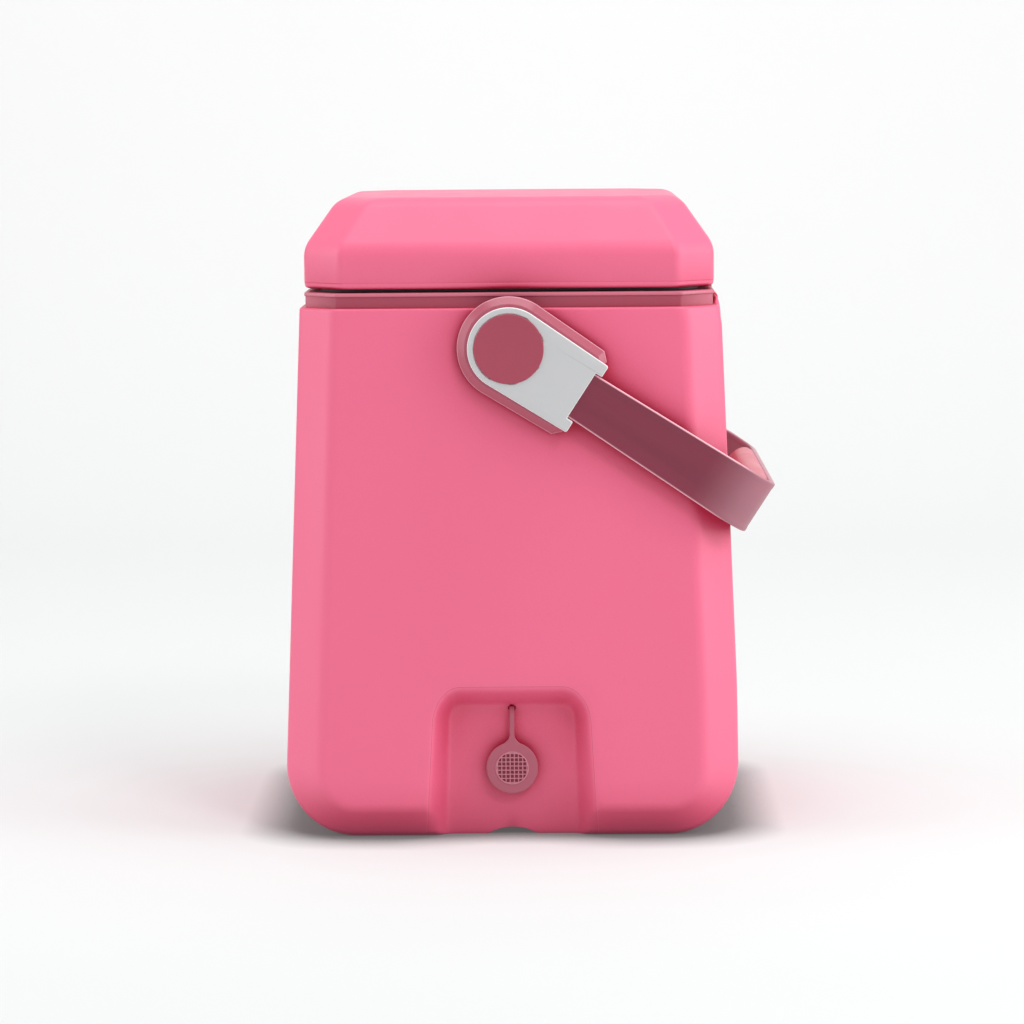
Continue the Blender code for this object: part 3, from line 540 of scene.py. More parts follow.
PINK = (0.90, 0.155, 0.285)
# The colour of the shade painted into the shell where other surfaces stand close.
SHADE_PINK = (0.54, 0.008, 0.052)
ROSE = (0.41, 0.068, 0.112)
DARK_ROSE = (0.225, 0.028, 0.058)
GLOSSY_ROSE = (0.46, 0.105, 0.155)
DULL_ROSE = (0.40, 0.065, 0.105)
SOFT_ROSE = (0.45, 0.115, 0.165)
WARM_ROSE = (0.66, 0.125, 0.18)
# Painted highlight colours of the band's lip, the strap's edges, the housing's lip, the plate's edge and the
# plug's ribs, and the painted shade of the plug's pits.
LIP_HIGHLIGHT = (0.74, 0.22, 0.30)
STRAP_EDGE_HIGHLIGHT = (0.90, 0.50, 0.58)
HOUSING_LIP_HIGHLIGHT = (0.92, 0.56, 0.64)
PLATE_EDGE_HIGHLIGHT = (0.95, 0.95, 0.95)
RIB_HIGHLIGHT = (0.58, 0.205, 0.265)
WAFFLE_PIT_SHADE = (0.27, 0.040, 0.070)
# The dark line round the recess's edge, and the painted highlight beside it.
RECESS_EDGE_DARK = (0.55, 0.06, 0.13)
RECESS_EDGE_HIGHLIGHT = (1.0, 0.30, 0.42)
FLOWS_UP = (1.0, 1.0, 0.25)
FLOWS_ALONG = (0.04, 0.5, 1.0)
FINISHES = {
    # The shell's pink carries painted shade where other surfaces stand close.
    "shell_pink": with_painted_shade(moulded("satin_pink_shell", PINK, 0.43, 0.10, 0.02, FLOWS_UP, 0.5), SHADE_PINK),
    "liner_white": moulded("white_liner", (0.78, 0.78, 0.77), 0.34, 0.05, 0.015),
    "foam": closed_foam("poured_foam"),
    "rose_band": moulded("rose_band", ROSE, 0.36, 0.10, 0.05),
    "gasket_rubber": moulded("gasket_rubber", (0.16, 0.16, 0.17), 0.62, 0.20, 0.06),
    "steel": brushed_steel("satin_steel"),
    "rose_strap": moulded("rose_strap", DARK_ROSE, 0.40, 0.22, 0.12, FLOWS_ALONG, 0.5, 60.0, lean=BAIL_DROP),
    "rose_housing": moulded("rose_housing", GLOSSY_ROSE, 0.26, 0.06, 0.04, specular=0.5),
    "grey_plate": moulded("grey_plate", (0.60, 0.60, 0.61), 0.38, 0.08, 0.02),
    "rose_cap": moulded("rose_cap", DULL_ROSE, 0.55, 0.32, 0.05),
    "acetal": moulded("white_acetal", (0.76, 0.76, 0.74), 0.30, 0.05, 0.02),
    "plug_rubber": moulded("rose_rubber", SOFT_ROSE, 0.52, 0.16, 0.04),
}
GRIP_FINISH = moulded("rose_grip", WARM_ROSE, 0.34, 0.14, 0.05, specular=0.5)


# ---- body shell ----

def recess_share(x, z):
    """Where a point lies across the recess's wall: 0 at the back wall's edge, 1 at the front edge.

    It is the distance to a box with round corners, measured in wall widths: with a and b the
    distances past the back wall's side and top in those units and r the corner's radius,
    |max((a, b) + r, 0)| + min(max(a, b) + r, 0) - r. The box widens towards the foot.
    """
    foot_share = np.clip((RECESS_TOP - z) / (RECESS_TOP + 0.02), 0.0, 1.1)
    half_back = RECESS_BACK_HALF[0] + foot_share * (RECESS_BACK_HALF[1] - RECESS_BACK_HALF[0])
    half_front = RECESS_HALF[0] + foot_share * (RECESS_HALF[1] - RECESS_HALF[0])
    a = (np.abs(x) - half_back) / (half_front - half_back) + RECESS_CORNER
    b = (z - RECESS_BACK_TOP) / (RECESS_TOP - RECESS_BACK_TOP) + RECESS_CORNER
    outside = np.hypot(np.maximum(a, 0), np.maximum(b, 0))
    return outside + np.minimum(np.maximum(a, b), 0) - RECESS_CORNER


def carve(points):
    """Cuts the recess, the drain channel, the tether's hole and the spout's bore into front points.

    The recess moves a point back to -(RECESS_BACK + RECESS_DEPTH * share) where that lies behind the
    panel, with the share rounded at the wall's foot and the cut rounded at its lip. The channel lifts
    a point to the arc of NOTCH_RADIUS over the foot. Hole and bore push a point in by a smooth step.
    """
    x, y, z = points[..., 0], points[..., 1].copy(), points[..., 2].copy()
    share = recess_share(x, z)
    wall_foot = (share + np.sqrt(share ** 2 + RECESS_FOOT_SOFT)) / 2
    cut = -(RECESS_BACK + RECESS_DEPTH * wall_foot)
    lip = RECESS_LIP_SOFT * smooth_step(RECESS_LIP_END, 1.6, share)
    y = np.where(share < RECESS_LIP_END, soft_max(y, cut, lip), y)
    arc = np.sqrt(np.maximum(NOTCH_RADIUS ** 2 - x ** 2, 0)) - NOTCH_RADIUS + NOTCH_HEIGHT
    lifted = soft_max(z, arc, 0.0004)
    z = np.where((points[..., 1] < -NOTCH_END) & (arc > -0.0005), lifted, z)
    from_hole = np.hypot(x / TETHER_HOLE[0], (z - TETHER_HOLE_Z) / TETHER_HOLE[1])
    y = y + TETHER_HOLE_DEPTH * smooth_step(1.25, 0.85, from_hole) * (z > 0.06)
    bore = smooth_step(0.0088, 0.0072, np.hypot(x, z - PLUG_Z))
    y = y + BORE_DEPTH * bore * (y < -0.12)
    return np.stack([x, y, z], axis=-1)


def side_bow(points):
    """Bows the hinge side out by SIDE_BOW over its height, fading to nothing at the foot and the top."""
    x, z = points[..., 0], points[..., 2]
    share = smooth_step(0.090, 0.118, x) * smooth_step(0.030, 0.110, z) * smooth_step(0.3495, 0.3360, z)
    return points + SIDE_BOW * share[..., None] * (1.0, 0.0, 0.0)


def soft_rim(points):
    """Draws points near the open top inwards along a quarter circle of radius RIM_SOFT."""
    rise = np.clip((points[..., 2] - (BODY_TOP - RIM_SOFT)) / RIM_SOFT, 0.0, 1.0)
    inset = RIM_SOFT * (1 - np.sqrt(1 - rise ** 2))
    scale = 1 - inset / body_half(BODY_TOP)
    return points * np.stack([scale, scale, np.ones_like(scale)], axis=-1)


def shell_columns(z, edge):
    """The x of each column of the front panel at height z, from one edge of the panel to the other.

    The inner columns lean with the recess's sides, so that they run along its walls.
    """
    inner = spaced((0.0, 0.017, 0.038, 0.060), (21, 7, 30))
    lean = 1 + 0.10 * (0.10 - np.minimum(z, 0.16)) / 0.10
    inner = inner * lean[:, None]
    outer = inner[:, -1:] + np.linspace(0, 1, 13)[1:] * (edge[:, None] - inner[:, -1:])
    right = np.concatenate([inner, outer], axis=1)
    return np.concatenate([-right[:, :0:-1], right], axis=1)


def bevel_section(foot, half):
    """The body's edge seen across: (distance in from the outline, depth behind the front plane).

    Straight from the panel over the bevel to the side, with an arc at each corner, and on along the
    side's flat to its middle, at SIDE_STOPS of the flat's length. The bevel's width and depth go from
    the side's to the foot's as foot goes from 0 to 1.
    """
    width = SIDE_BEVEL + foot * (FOOT_BEVEL - SIDE_BEVEL)
    depth = SIDE_BEVEL_DEPTH + foot * (FOOT_BEVEL_DEPTH - SIDE_BEVEL_DEPTH)
    zero = np.zeros_like(width)
    panel = np.stack([width + 0.05, zero], axis=-1)
    panel_edge = np.stack([width, zero], axis=-1)
    side_edge = np.stack([zero, depth], axis=-1)
    side = np.stack([zero, depth + 0.05], axis=-1)
    arcs = [corner_arc(panel, panel_edge, side_edge, PANEL_SOFT, 9),
            corner_arc(panel_edge, side_edge, side, EDGE_SOFT, 9)]
    inner = half - SIDE_BEVEL_DEPTH - SIDE_FLAT_START
    reach = half[:, None] - inner[:, None] * SIDE_STOPS
    flat = np.stack([np.zeros_like(reach), reach], axis=-1)
    return np.concatenate([*arcs, flat], axis=1)


def shell_patches():
    """The shell: a front and a back panel, an edge strip round each, and the inner skin.

    A strip runs down the right side, round the foot and up the left side. At each station its
    section is carried inwards along the outline's normal.
    """
    rim_turn = np.linspace(math.pi / 2, 0, 6)
    rim = BODY_TOP - RIM_SOFT * (1 - np.sin(rim_turn))
    side_z = np.concatenate([rim, spaced((0.345, 0.108, 0.078, FOOT_RADIUS), (24, 50, 16))])
    turn = np.linspace(0, math.pi / 2, 26)[1:]
    arc_x = body_half(FOOT_RADIUS) - FOOT_RADIUS
    x = np.concatenate([body_half(side_z), arc_x + FOOT_RADIUS * np.cos(turn)])
    z = np.concatenate([side_z, FOOT_RADIUS * (1 - np.sin(turn))])
    inward_x = np.concatenate([np.full(len(side_z), -1.0), -np.cos(turn)])
    inward_z = np.concatenate([np.zeros(len(side_z)), np.sin(turn)])
    foot = np.concatenate([np.zeros(len(side_z)), np.sin(turn) ** 2])

    section = bevel_section(foot, body_half(z))
    edge_x = x + inward_x * section[:, 0, 0]
    edge_z = z + inward_z * section[:, 0, 0]
    columns = shell_columns(edge_z, edge_x)
    bottom = columns[-1, ::-1][1:-1]

    x = np.concatenate([x, bottom, -x[::-1]])
    z = np.concatenate([z, np.zeros(len(bottom)), z[::-1]])
    inward_x = np.concatenate([inward_x, np.zeros(len(bottom)), -inward_x[::-1]])
    inward_z = np.concatenate([inward_z, np.ones(len(bottom)), inward_z[::-1]])
    foot_section = np.repeat(section[-1:], len(bottom), axis=0)
    section = np.concatenate([section, foot_section, section[::-1]])

    inwards, depth = section[..., 0], section[..., 1]
    strip_x = x[:, None] + inward_x[:, None] * inwards
    strip_z = z[:, None] + inward_z[:, None] * inwards
    strip_y = -(body_half(strip_z) - depth)
    front_strip = np.stack([strip_x, strip_y, strip_z], axis=-1)
    back_strip = (front_strip * (1, -1, 1))[:, ::-1]
    panel_z = np.broadcast_to(edge_z[:, None], columns.shape)
    front_panel = np.stack([columns, -body_half(panel_z), panel_z], axis=-1)
    back_panel = front_panel * (1, -1, 1)

    front_strip, front_panel = carve(front_strip), carve(front_panel)
    front_strip, back_strip = soft_rim(side_bow(front_strip)), soft_rim(side_bow(back_strip))
    front_panel, back_panel = soft_rim(side_bow(front_panel)), soft_rim(side_bow(back_panel))
    rim_ring = np.concatenate([front_panel[0], front_strip[0, 1:], back_strip[0, 1:], back_panel[0, -2::-1],
                               back_strip[-1, -2::-1], front_strip[-1, -2:0:-1]])
    return [(front_panel, False), (back_panel, False), (front_strip, False), (back_strip, False),
            (inner_skin(rim_ring), True)]


def inner_skin(rim_ring):
    """Rows from the rim down inside the wall: the rim's ring drawn in by the wall, widened with the
    taper, kept behind the recess lower down, and closed at the middle of the floor."""
    drawn = rim_ring * (1 - SHELL_WALL / body_half(BODY_TOP))
    rows = [rim_ring]
    for height, front, side in INNER_ROWS:
        widen = (body_half(height) - SHELL_WALL) / (body_half(BODY_TOP) - SHELL_WALL)
        row = drawn * widen
        row[:, 0] = np.clip(row[:, 0], -side, side)
        row[:, 1] = np.clip(row[:, 1], -front, UNLIMITED if height > 0.05 else BACK_REACH_LOW)
        row[:, 2] = height
        rows.append(row)
    rows = np.stack(rows)
    return np.concatenate([rows, to_centre(rows[-1], (0.0, 0.0, SHELL_FLOOR), 2)])


def shell_finish():
    """The shell's pink with a fine dark line round the recess's edge, and a painted highlight beside it."""
    made = FINISHES["shell_pink"].copy()
    made.name = "satin_pink_body"
    tree = made.node_tree
    shader = tree.nodes["Principled BSDF"]
    line = add_node(tree, "ShaderNodeAttribute", attribute_name="recess_line")
    colour = shader.inputs["Base Color"].links[0].from_socket
    # A dark line at the recess's edge, then a painted highlight beside it along the lip.
    for middle, shade, strength in ((1.155, RECESS_EDGE_DARK, 0.60), (1.195, RECESS_EDGE_HIGHLIGHT, 0.18)):
        off = add_node(tree, "ShaderNodeMath", operation="SUBTRACT")
        tree.links.new(line.outputs["Fac"], off.inputs[0])
        off.inputs[1].default_value = middle
        size = add_node(tree, "ShaderNodeMath", operation="ABSOLUTE")
        tree.links.new(off.outputs[0], size.inputs[0])
        colour = mixed(tree, ranged(tree, size.outputs[0], strength, 0.0, 0.006, 0.028), colour, shade)
    tree.links.new(colour, shader.inputs["Base Color"])
    return made


def make_hinge_cheeks():
    """The shell's shoulder on the hinge side, rising outside the collar at both ends of the hinge.

    Its section leaves the wall at CHEEK_LOW, leans in along a quarter ellipse to its top, and comes
    down behind the collar's face. Along Y its height falls off to its outer end as a smooth step.
    """
    turn = np.linspace(0, math.pi / 2, 14)
    rise = CHEEK_TOP - CHEEK_LOW
    wall = body_half(CHEEK_LOW)
    section_x = wall + SIDE_BOW - CHEEK_LEAN * (1 - np.cos(turn))
    section_z = CHEEK_LOW + rise * np.sin(turn)
    section_x = np.concatenate([[wall - 0.002], section_x, [section_x[-1] - 0.0008, wall - 0.0045]])
    section_z = np.concatenate([[CHEEK_LOW], section_z, [section_z[-1] - 0.0004, CHEEK_LOW]])
    y = np.linspace(KNUCKLE_REACH + 0.0008, CHEEK_END, 40)
    height = smooth_step(CHEEK_END + 0.0005, CHEEK_END - 0.012, y)[:, None]
    for side, label in SIDES:
        x = section_x - 0.0016 * (1 - height)
        z = CHEEK_LOW + (section_z - CHEEK_LOW) * (0.55 + 0.45 * height)
        grid = np.stack(np.broadcast_arrays(x, side * y[:, None], z), axis=-1)
        make_piece("hinge_shoulder_" + label, [(capped(grid), True)], FINISHES["shell_pink"], "cooler_body")


def make_body_shell():
    """The shell, which keeps each point's place across the recess's wall, and a turned boss behind each
    pivot."""
    shell = make_piece("body_shell", shell_patches(), shell_finish(), "cooler_body",
                       ("outer_shell",), 50.0)
    store(shell, "recess_line", lambda x, y, z: np.where(y < -0.127, recess_share(x, z), 9.0))
    for side, label in SIDES:
        face = body_half(PIVOT_Z) - 0.001
        end = HOUSING_BACK - 0.0006
        boss = soft_path([(BOSS_BORE, face), (BOSS_RADIUS, face), (BOSS_RADIUS, end), (BOSS_BORE, end)],
                         (0.0, 0.0001, 0.0005, 0.0), 5)
        boss = np.concatenate([boss, boss[:1]])
        make_piece("pivot_boss_" + label, [(turned(boss, (0.0, PIVOT_Z), side), True)],
                   FINISHES["shell_pink"], "cooler_body")


# ---- hinge ----

def make_hinge():
    """Barrels on the hinge's axis: two knuckles of the shell and, between them, the lid's arm."""
    for side, label in SIDES:
        near, far = ARM_REACH + 0.0003, KNUCKLE_REACH
        corners = [(PIN_RADIUS, near), (KNUCKLE_RADIUS, near), (KNUCKLE_RADIUS, far), (PIN_RADIUS, far)]
        tube = soft_path(corners, (0.0, 0.0004, 0.0009, 0.0), 5)
        tube = np.concatenate([tube, tube[:1]])
        make_piece("hinge_knuckle_" + label, [(turned(tube, (HINGE_X, HINGE_Z), side, 48), True)],
                   FINISHES["shell_pink"], "cooler_body")
    start = math.pi - math.acos((HINGE_X - ARM_LEFT) / KNUCKLE_RADIUS)
    end = 2 * math.pi + math.acos((ARM_RIGHT - HINGE_X) / KNUCKLE_RADIUS)
    turn = np.linspace(start, end, 30)
    barrel = np.stack([np.cos(turn), np.sin(turn)], axis=-1) * KNUCKLE_RADIUS + (HINGE_X, HINGE_Z)
    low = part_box("hinge_arm")[0].x
    corners = [barrel[-1], (ARM_RIGHT, ARM_SHELF_Z), (ARM_FACE_X, ARM_SHELF_Z), (ARM_FACE_X, ARM_TOP_Z),
               (low, ARM_TOP_Z), (low, ARM_STEP_Z), (ARM_LEFT, ARM_STEP_Z), barrel[0]]
    upper = soft_path(corners, (0, 0.0010, 0.0004, 0.0004, 0.0004, 0.0004, 0.0008, 0), 4)
    outline = np.concatenate([barrel[:-1], upper[:-1]])
    centre = outline.mean(axis=0)
    rows = []
    for inset, y in ((0.0007, -ARM_REACH), (0.0002, -ARM_REACH + 0.0002), (0.0, -ARM_REACH + 0.0007)):
        rows.append((outline + (centre - outline) * inset / 0.006, y))
    rows += [(ring, -y) for ring, y in reversed(rows)]
    rings = [np.stack([ring[:, 0], np.full(len(ring), y), ring[:, 1]], axis=-1) for ring, y in rows]
    ends = [to_centre(ring, (HINGE_X - 0.0012, y, 0.3560), 1)
            for ring, y in ((rings[0], -ARM_REACH), (rings[-1], ARM_REACH))]
    grid = np.concatenate([ends[0][::-1], rings, ends[1]])
    make_piece("hinge_arm_cover", [(grid, True)], FINISHES["shell_pink"], "lid",
               ("hinge_arm",))


# ---- collar and lid ----

def make_collar():
    """The band under the lid: a square ring with cut corners whose section has a lip along its top, and a
    pocket for the hinge's knuckles."""
    top, outer = COLLAR_HIGH.z, COLLAR_HIGH.y
    step, under = top - COLLAR_LIP, top - COLLAR_TOP_WALL
    face, back = outer - 0.0007, outer - COLLAR_SIDE_WALL
    corners = [(face, COLLAR_LOW.z), (face, step), (outer, step + 0.0003), (outer, top),
               (COLLAR_MOUTH, top), (COLLAR_MOUTH, under), (back, under), (back, COLLAR_LOW.z)]
    section = soft_path(corners, (0.0, 0.0002, 0.0003, 0.0009, 0.0008, 0.0003, 0.0003, 0.0), 5)
    section = np.concatenate([section, section[:1]])
    pocket = np.array([-1, -1, 1, 1]) * POCKET_HALF + np.array([-1, 1, -1, 1]) * 0.0001
    rings = square_rings(section[:, 0], COLLAR_CUT, COLLAR_CORNER, pocket)
    ring = at_heights(rings, section[:, 1])
    inside = (np.abs(ring[..., 1]) < POCKET_HALF) & (ring[..., 0] > 0)
    ring[..., 0] = np.where(inside, np.minimum(ring[..., 0], POCKET_X), ring[..., 0])
    # The band's lip and cut corners carry a painted highlight.
    finish = with_painted_light("rose_band", "rose_band_lip", LIP_HIGHLIGHT)
    band = make_piece("collar_band", [(ring, True)], finish, "cooler_body",
                      ("collar_ring",), 30.0)
    cut_corner = outer - COLLAR_CUT

    def lip_highlight_share(x, y, z):
        """Painted highlight along the lip, and at the cut's corners on the outer face."""
        lip = smooth_step(step + 0.0002, step + 0.0007, z) * smooth_step(top + 0.0003, top - 0.0008, z)
        corner = np.clip(1 - np.abs(np.abs(y) - cut_corner) / 0.0012, 0, 1) * (np.abs(x) > outer - 0.0035)
        return np.maximum(0.8 * lip, 0.7 * corner)

    store(band, "painted_light", lip_highlight_share)


def make_lid():
    """The lid: square sections with cut corners along a profile of lip, upright, bevel and flat top.

    The cut gets smaller in step with the half-width. A fine groove runs above the lip, and a slot
    leaves room for the hinge's arm. Inside, the profile turns back at the wall.
    """
    half, low, top = LID_HIGH.y, LID_LOW.z, LID_HIGH.z
    outside = soft_path([(half - LID_WALL, low), (half - 0.0004, low), (half, LID_UPRIGHT_TOP),
                         (LID_FLAT_HALF, top), (0.095, top)], (0.0, 0.0027, 0.020, 0.017, 0.0), 16)
    lip = outside[:, 1] < low + 0.0042
    groove = np.array([[-0.00015, 0.0036], [-0.00035, 0.0040], [-0.00012, 0.0044]]) + (half, low)
    outside = np.concatenate([outside[lip], groove, outside[~lip]])
    wall, roof = half - LID_WALL, top - LID_WALL
    inside = soft_path([(0.092, roof), (0.1085, roof), (wall, 0.3845), (wall, low)],
                       (0.0, 0.012, 0.012, 0.0), 6)
    slot = np.array([-ARM_REACH - 0.0004, -ARM_REACH - 0.0002, ARM_REACH + 0.0002, ARM_REACH + 0.0004])

    def rows(profile):
        """The profile's rings, raised over the arm's slot."""
        cut = LID_CUT - (half - profile[:, 0]) * LID_CUT_TAPER
        ring = at_heights(square_rings(profile[:, 0], cut, LID_CORNER, slot, 9), profile[:, 1])
        beside = (np.abs(ring[..., 1]) < ARM_REACH + 0.0003) & (ring[..., 0] > 0.12)
        ring[..., 2] = np.where(beside, np.maximum(ring[..., 2], LID_SLOT_TOP), ring[..., 2])
        return ring

    outer_rows, inner_rows = rows(outside), rows(inside)
    grid = np.concatenate([to_centre(inner_rows[0], (0, 0, roof), 3)[::-1], inner_rows, outer_rows[1:],
                           to_centre(outer_rows[-1], (0, 0, top), 4)])
    make_piece("lid_cover", [(grid, True)], FINISHES["shell_pink"], "lid",
               ("lid_shell",), 40.0)


# ---- bail ----

def strap_line():
    """The strap's middle line from root to root: (along, y, normal along, normal y) for each station.

    Straight arms, a quarter circle of BEND_RADIUS less half the thickness, and a straight cross-piece.
    """
    middle = ARM_OUTER - STRAP_THICKNESS / 2
    radius = BEND_RADIUS - STRAP_THICKNESS / 2
    bend = BAIL_REACH - BEND_RADIUS
    arm = spaced((STRAP_START, STRAP_TAPER_START, bend), (6, 16))[:-1]
    turn = np.linspace(0, math.pi / 2, 24)
    around_screw = (-GRIP_SCREW_Y - 0.0056, -GRIP_SCREW_Y + 0.0056)
    cross = spaced((-(middle - radius), *around_screw, 0.0), (8, 22, 10))[1:]
    along = np.concatenate([arm, bend + radius * np.sin(turn), np.full(len(cross), bend + radius)])
    y = np.concatenate([np.full(len(arm), -middle), -middle + radius * (1 - np.cos(turn)), cross])
    normal_along = np.concatenate([np.zeros(len(arm)), np.sin(turn), np.ones(len(cross))])
    normal_y = np.concatenate([-np.ones(len(arm)), -np.cos(turn), np.zeros(len(cross))])
    back = slice(-2, None, -1)
    return (np.concatenate([along, along[back]]), np.concatenate([y, -y[back]]),
            np.concatenate([normal_along, normal_along[back]]), np.concatenate([normal_y, -normal_y[back]]))


def make_strap():
    """The strap: a band section with round edges and a slightly hollow face, carried along its line.

    It widens along the arms, and has a round dimple over each of the grip's screws.
    """
    along, y, normal_along, normal_y = strap_line()
    share = np.clip((along - STRAP_TAPER_START) / (BAIL_REACH - BEND_RADIUS - STRAP_TAPER_START), 0.0, 1.0)
    half = STRAP_HALF[0] + share * (STRAP_HALF[1] - STRAP_HALF[0])
    edge = STRAP_EDGE
    across = spaced((-1.0, -0.80, -0.30, 0.30, 0.80, 1.0), (5, 6, 20, 6, 5))
    turn = np.linspace(-math.pi / 2, math.pi / 2, 9)[1:-1]
    face = half[:, None] - edge
    thick = STRAP_THICKNESS / 2
    ridge = STRAP_HOLLOW * smooth_step(0.80, 0.93, np.abs(across)) - STRAP_HOLLOW
    top_v, top_n = face * across, np.broadcast_to(thick + ridge, (len(half), len(across)))
    round_v = face + edge * np.cos(turn[::-1])
    rise = np.sin(turn[::-1])
    round_n = np.broadcast_to(np.where(rise > 0, 1, -1) * (thick - edge) + edge * rise, round_v.shape)
    v = np.concatenate([top_v, round_v, -top_v, -round_v], axis=1)
    n = np.concatenate([top_n, round_n, -top_n, -round_n], axis=1)
    reach = np.hypot(v, np.abs(y)[:, None] - GRIP_SCREW_Y)
    dimple = smooth_step(0.0048, 0.0043, reach) * (n > 0) * (normal_along[:, None] > 0.99)
    n = n - DIMPLE_DEPTH * dimple
    grid = on_bail(along[:, None] + normal_along[:, None] * n, v, y[:, None] + normal_y[:, None] * n)
    # The strap's edges and its bend carry a painted highlight.
    finish = with_painted_light("rose_strap", "rose_strap_edged", STRAP_EDGE_HIGHLIGHT)
    strap = make_piece("bail_strap_band", [(capped(grid), True)], finish, "bail",
                       ("bail_strap",), 42.0)

    def strap_highlight_share(x, y, z):
        """Painted highlight along both edges, less so past the bend, and a little painted highlight round
        the bend.
        """
        drop = z - PIVOT_Z
        reach = x * math.cos(BAIL_DROP) - drop * math.sin(BAIL_DROP)
        from_middle = np.abs(x * math.sin(BAIL_DROP) + drop * math.cos(BAIL_DROP))
        width = np.interp(reach, (STRAP_TAPER_START, BAIL_REACH - BEND_RADIUS), STRAP_HALF)
        edge_line = smooth_step(width - 0.0011, width - 0.0004, from_middle)
        bend = smooth_step(0.148, 0.186, reach)
        return edge_line * (1 - 0.6 * smooth_step(0.165, 0.180, reach)) + 0.25 * bend * (1 - edge_line)

    store(strap, "painted_light", strap_highlight_share)


def make_grip():
    """The grip: a D section whose depth falls off at the ends as (1 - t^16)^(1/2), t from -1 to 1.

    Its width shrinks at the ends with the depth, by 14 %.
    """
    back = BAIL_REACH - STRAP_THICKNESS - 0.0003
    t = np.sin(np.linspace(-math.pi / 2, math.pi / 2, 90))
    full = np.sqrt(np.maximum(1 - np.abs(t) ** 16, 0.0))[:, None]
    turn = np.linspace(0, math.pi, 29)
    across = -GRIP_HALF_WIDTH * np.sign(np.cos(turn)) * np.abs(np.cos(turn)) ** 0.85
    depth = (GRIP_DEPTH - 0.0006) * np.abs(np.sin(turn)) ** 0.8
    y = (t * GRIP_HALF_LENGTH)[:, None]
    shrink = 0.86 + 0.14 * full
    palm = on_bail(back - 0.0006 - depth * full, across * shrink, y)
    flat = np.linspace(GRIP_HALF_WIDTH, -GRIP_HALF_WIDTH, 5)[None]
    rear = on_bail(np.full((1, 5), back), flat * shrink, y)
    grid = capped(np.concatenate([palm, rear], axis=1))
    make_piece("bail_grip_palm", [(grid, True)], GRIP_FINISH, "bail", ("bail_grip",), 50.0)


def hub_path(radius, half, end, facet, open_half):
    """Half of a pivot cover's outline, from the slot's edge at its end round to the hub's far side.

    (end, open_half) out to the facet, along the side, which narrows from radius to half, and a
    quarter circle about the pivot.
    """
    turn = np.linspace(math.pi / 2, math.pi, 44)
    arc = np.stack([radius * np.cos(turn), radius * np.sin(turn)], axis=-1)
    corners = [(end, open_half), (end, half - facet), (end - facet, half), arc[0]]
    return np.concatenate([soft_path(corners, (0, 0.0008, 0.0016, 0), 5)[:-1], arc])


def filled(path, longest=0.0005):
    """A path with points added so that no step is longer than the given one."""
    steps = np.maximum(1, np.ceil(np.linalg.norm(np.diff(path, axis=0), axis=1) / longest)).astype(int)
    parts = [np.linspace(a, b, n, endpoint=False) for a, b, n in zip(path, path[1:], steps)]
    return np.concatenate([*parts, path[-1:]])


def mirrored(upper):
    """An outline's upper half and its mirror image, as one open path that starts on the upper side."""
    return np.concatenate([upper, upper[-2::-1] * (1, -1)])


def make_housing(side, label):
    """The pivot's housing: a skirt that slopes in towards the plate, on a floor under the strap."""
    corners = [(0.0, HOUSING_BACK), (0.0, HOUSING_LIP), (HOUSING_SLOPE, HOUSING_FRONT),
               (HOUSING_INNER, HOUSING_FRONT), (HOUSING_INNER, HOUSING_BACK + 0.0004)]
    levels = soft_path(corners, (0.0, 0.0012, 0.0007, 0.0003, 0.0), 5)
    levels = filled(np.concatenate([levels, levels[:1]]))
    rows = []
    for inset, y in levels:
        radius = HOUSING_RADIUS - inset
        end = HOUSING_END - 0.30 * min(inset, HOUSING_SLOPE)
        outline = mirrored(hub_path(radius, radius - 0.0018, end, 0.0050, HOUSING_SLOT_HALF))
        rows.append(on_bail(*outline.T, side * y))
    finish = with_painted_light("rose_housing", "rose_housing_" + label, HOUSING_LIP_HIGHLIGHT)
    shroud = make_piece("pivot_housing_skirt_" + label, [(capped(np.stack(rows, axis=1)), False)], finish,
                        "bail", ("pivot_housing_" + label,), 40.0)
    # A painted highlight along the skirt's outer lip, within 0.7 mm of |y| = 0.1450.
    store(shroud, "painted_light", lambda x, y, z: (1 - np.abs(np.abs(y) - 0.1450) / 0.0007).clip(0, 1))
    half = HOUSING_RADIUS - HOUSING_INNER
    outline = mirrored(hub_path(HOUSING_RADIUS - 0.006, half, HOUSING_END - 0.0006, 0.002, 0.0001))
    hub = outline * 0.33 * (0.6, 1.0)
    low, high = HOUSING_BACK + 0.0002, HOUSING_FLOOR
    steps = ((hub, low), (outline, low), (outline, high), (hub, high))
    floor = [on_bail(*ring.T, side * y) for ring, y in steps]
    make_piece("pivot_housing_floor_" + label, [(capped(np.stack(floor)), True)], FINISHES["rose_housing"],
               "bail")


def plate_outline(inset):
    """Half of the cover plate's outline from the middle of its slot to the hub, drawn in by inset."""
    radius = PLATE_RADIUS - inset
    slot = PLATE_SLOT_HALF + inset
    half = radius - 0.0016
    turn = np.linspace(math.pi / 2, math.pi, 40)
    arc = np.stack([radius * np.cos(turn), radius * np.sin(turn)], axis=-1)
    corners = [(PLATE_SLOT_END - inset, 0.0), (PLATE_SLOT_END - inset, slot), (PLATE_TIP - inset, slot),
               (PLATE_TIP - inset, half), arc[0]]
    return np.concatenate([soft_path(corners, (0, 0.0006, 0.0009, 0.0014, 0), 6)[:-1], arc])


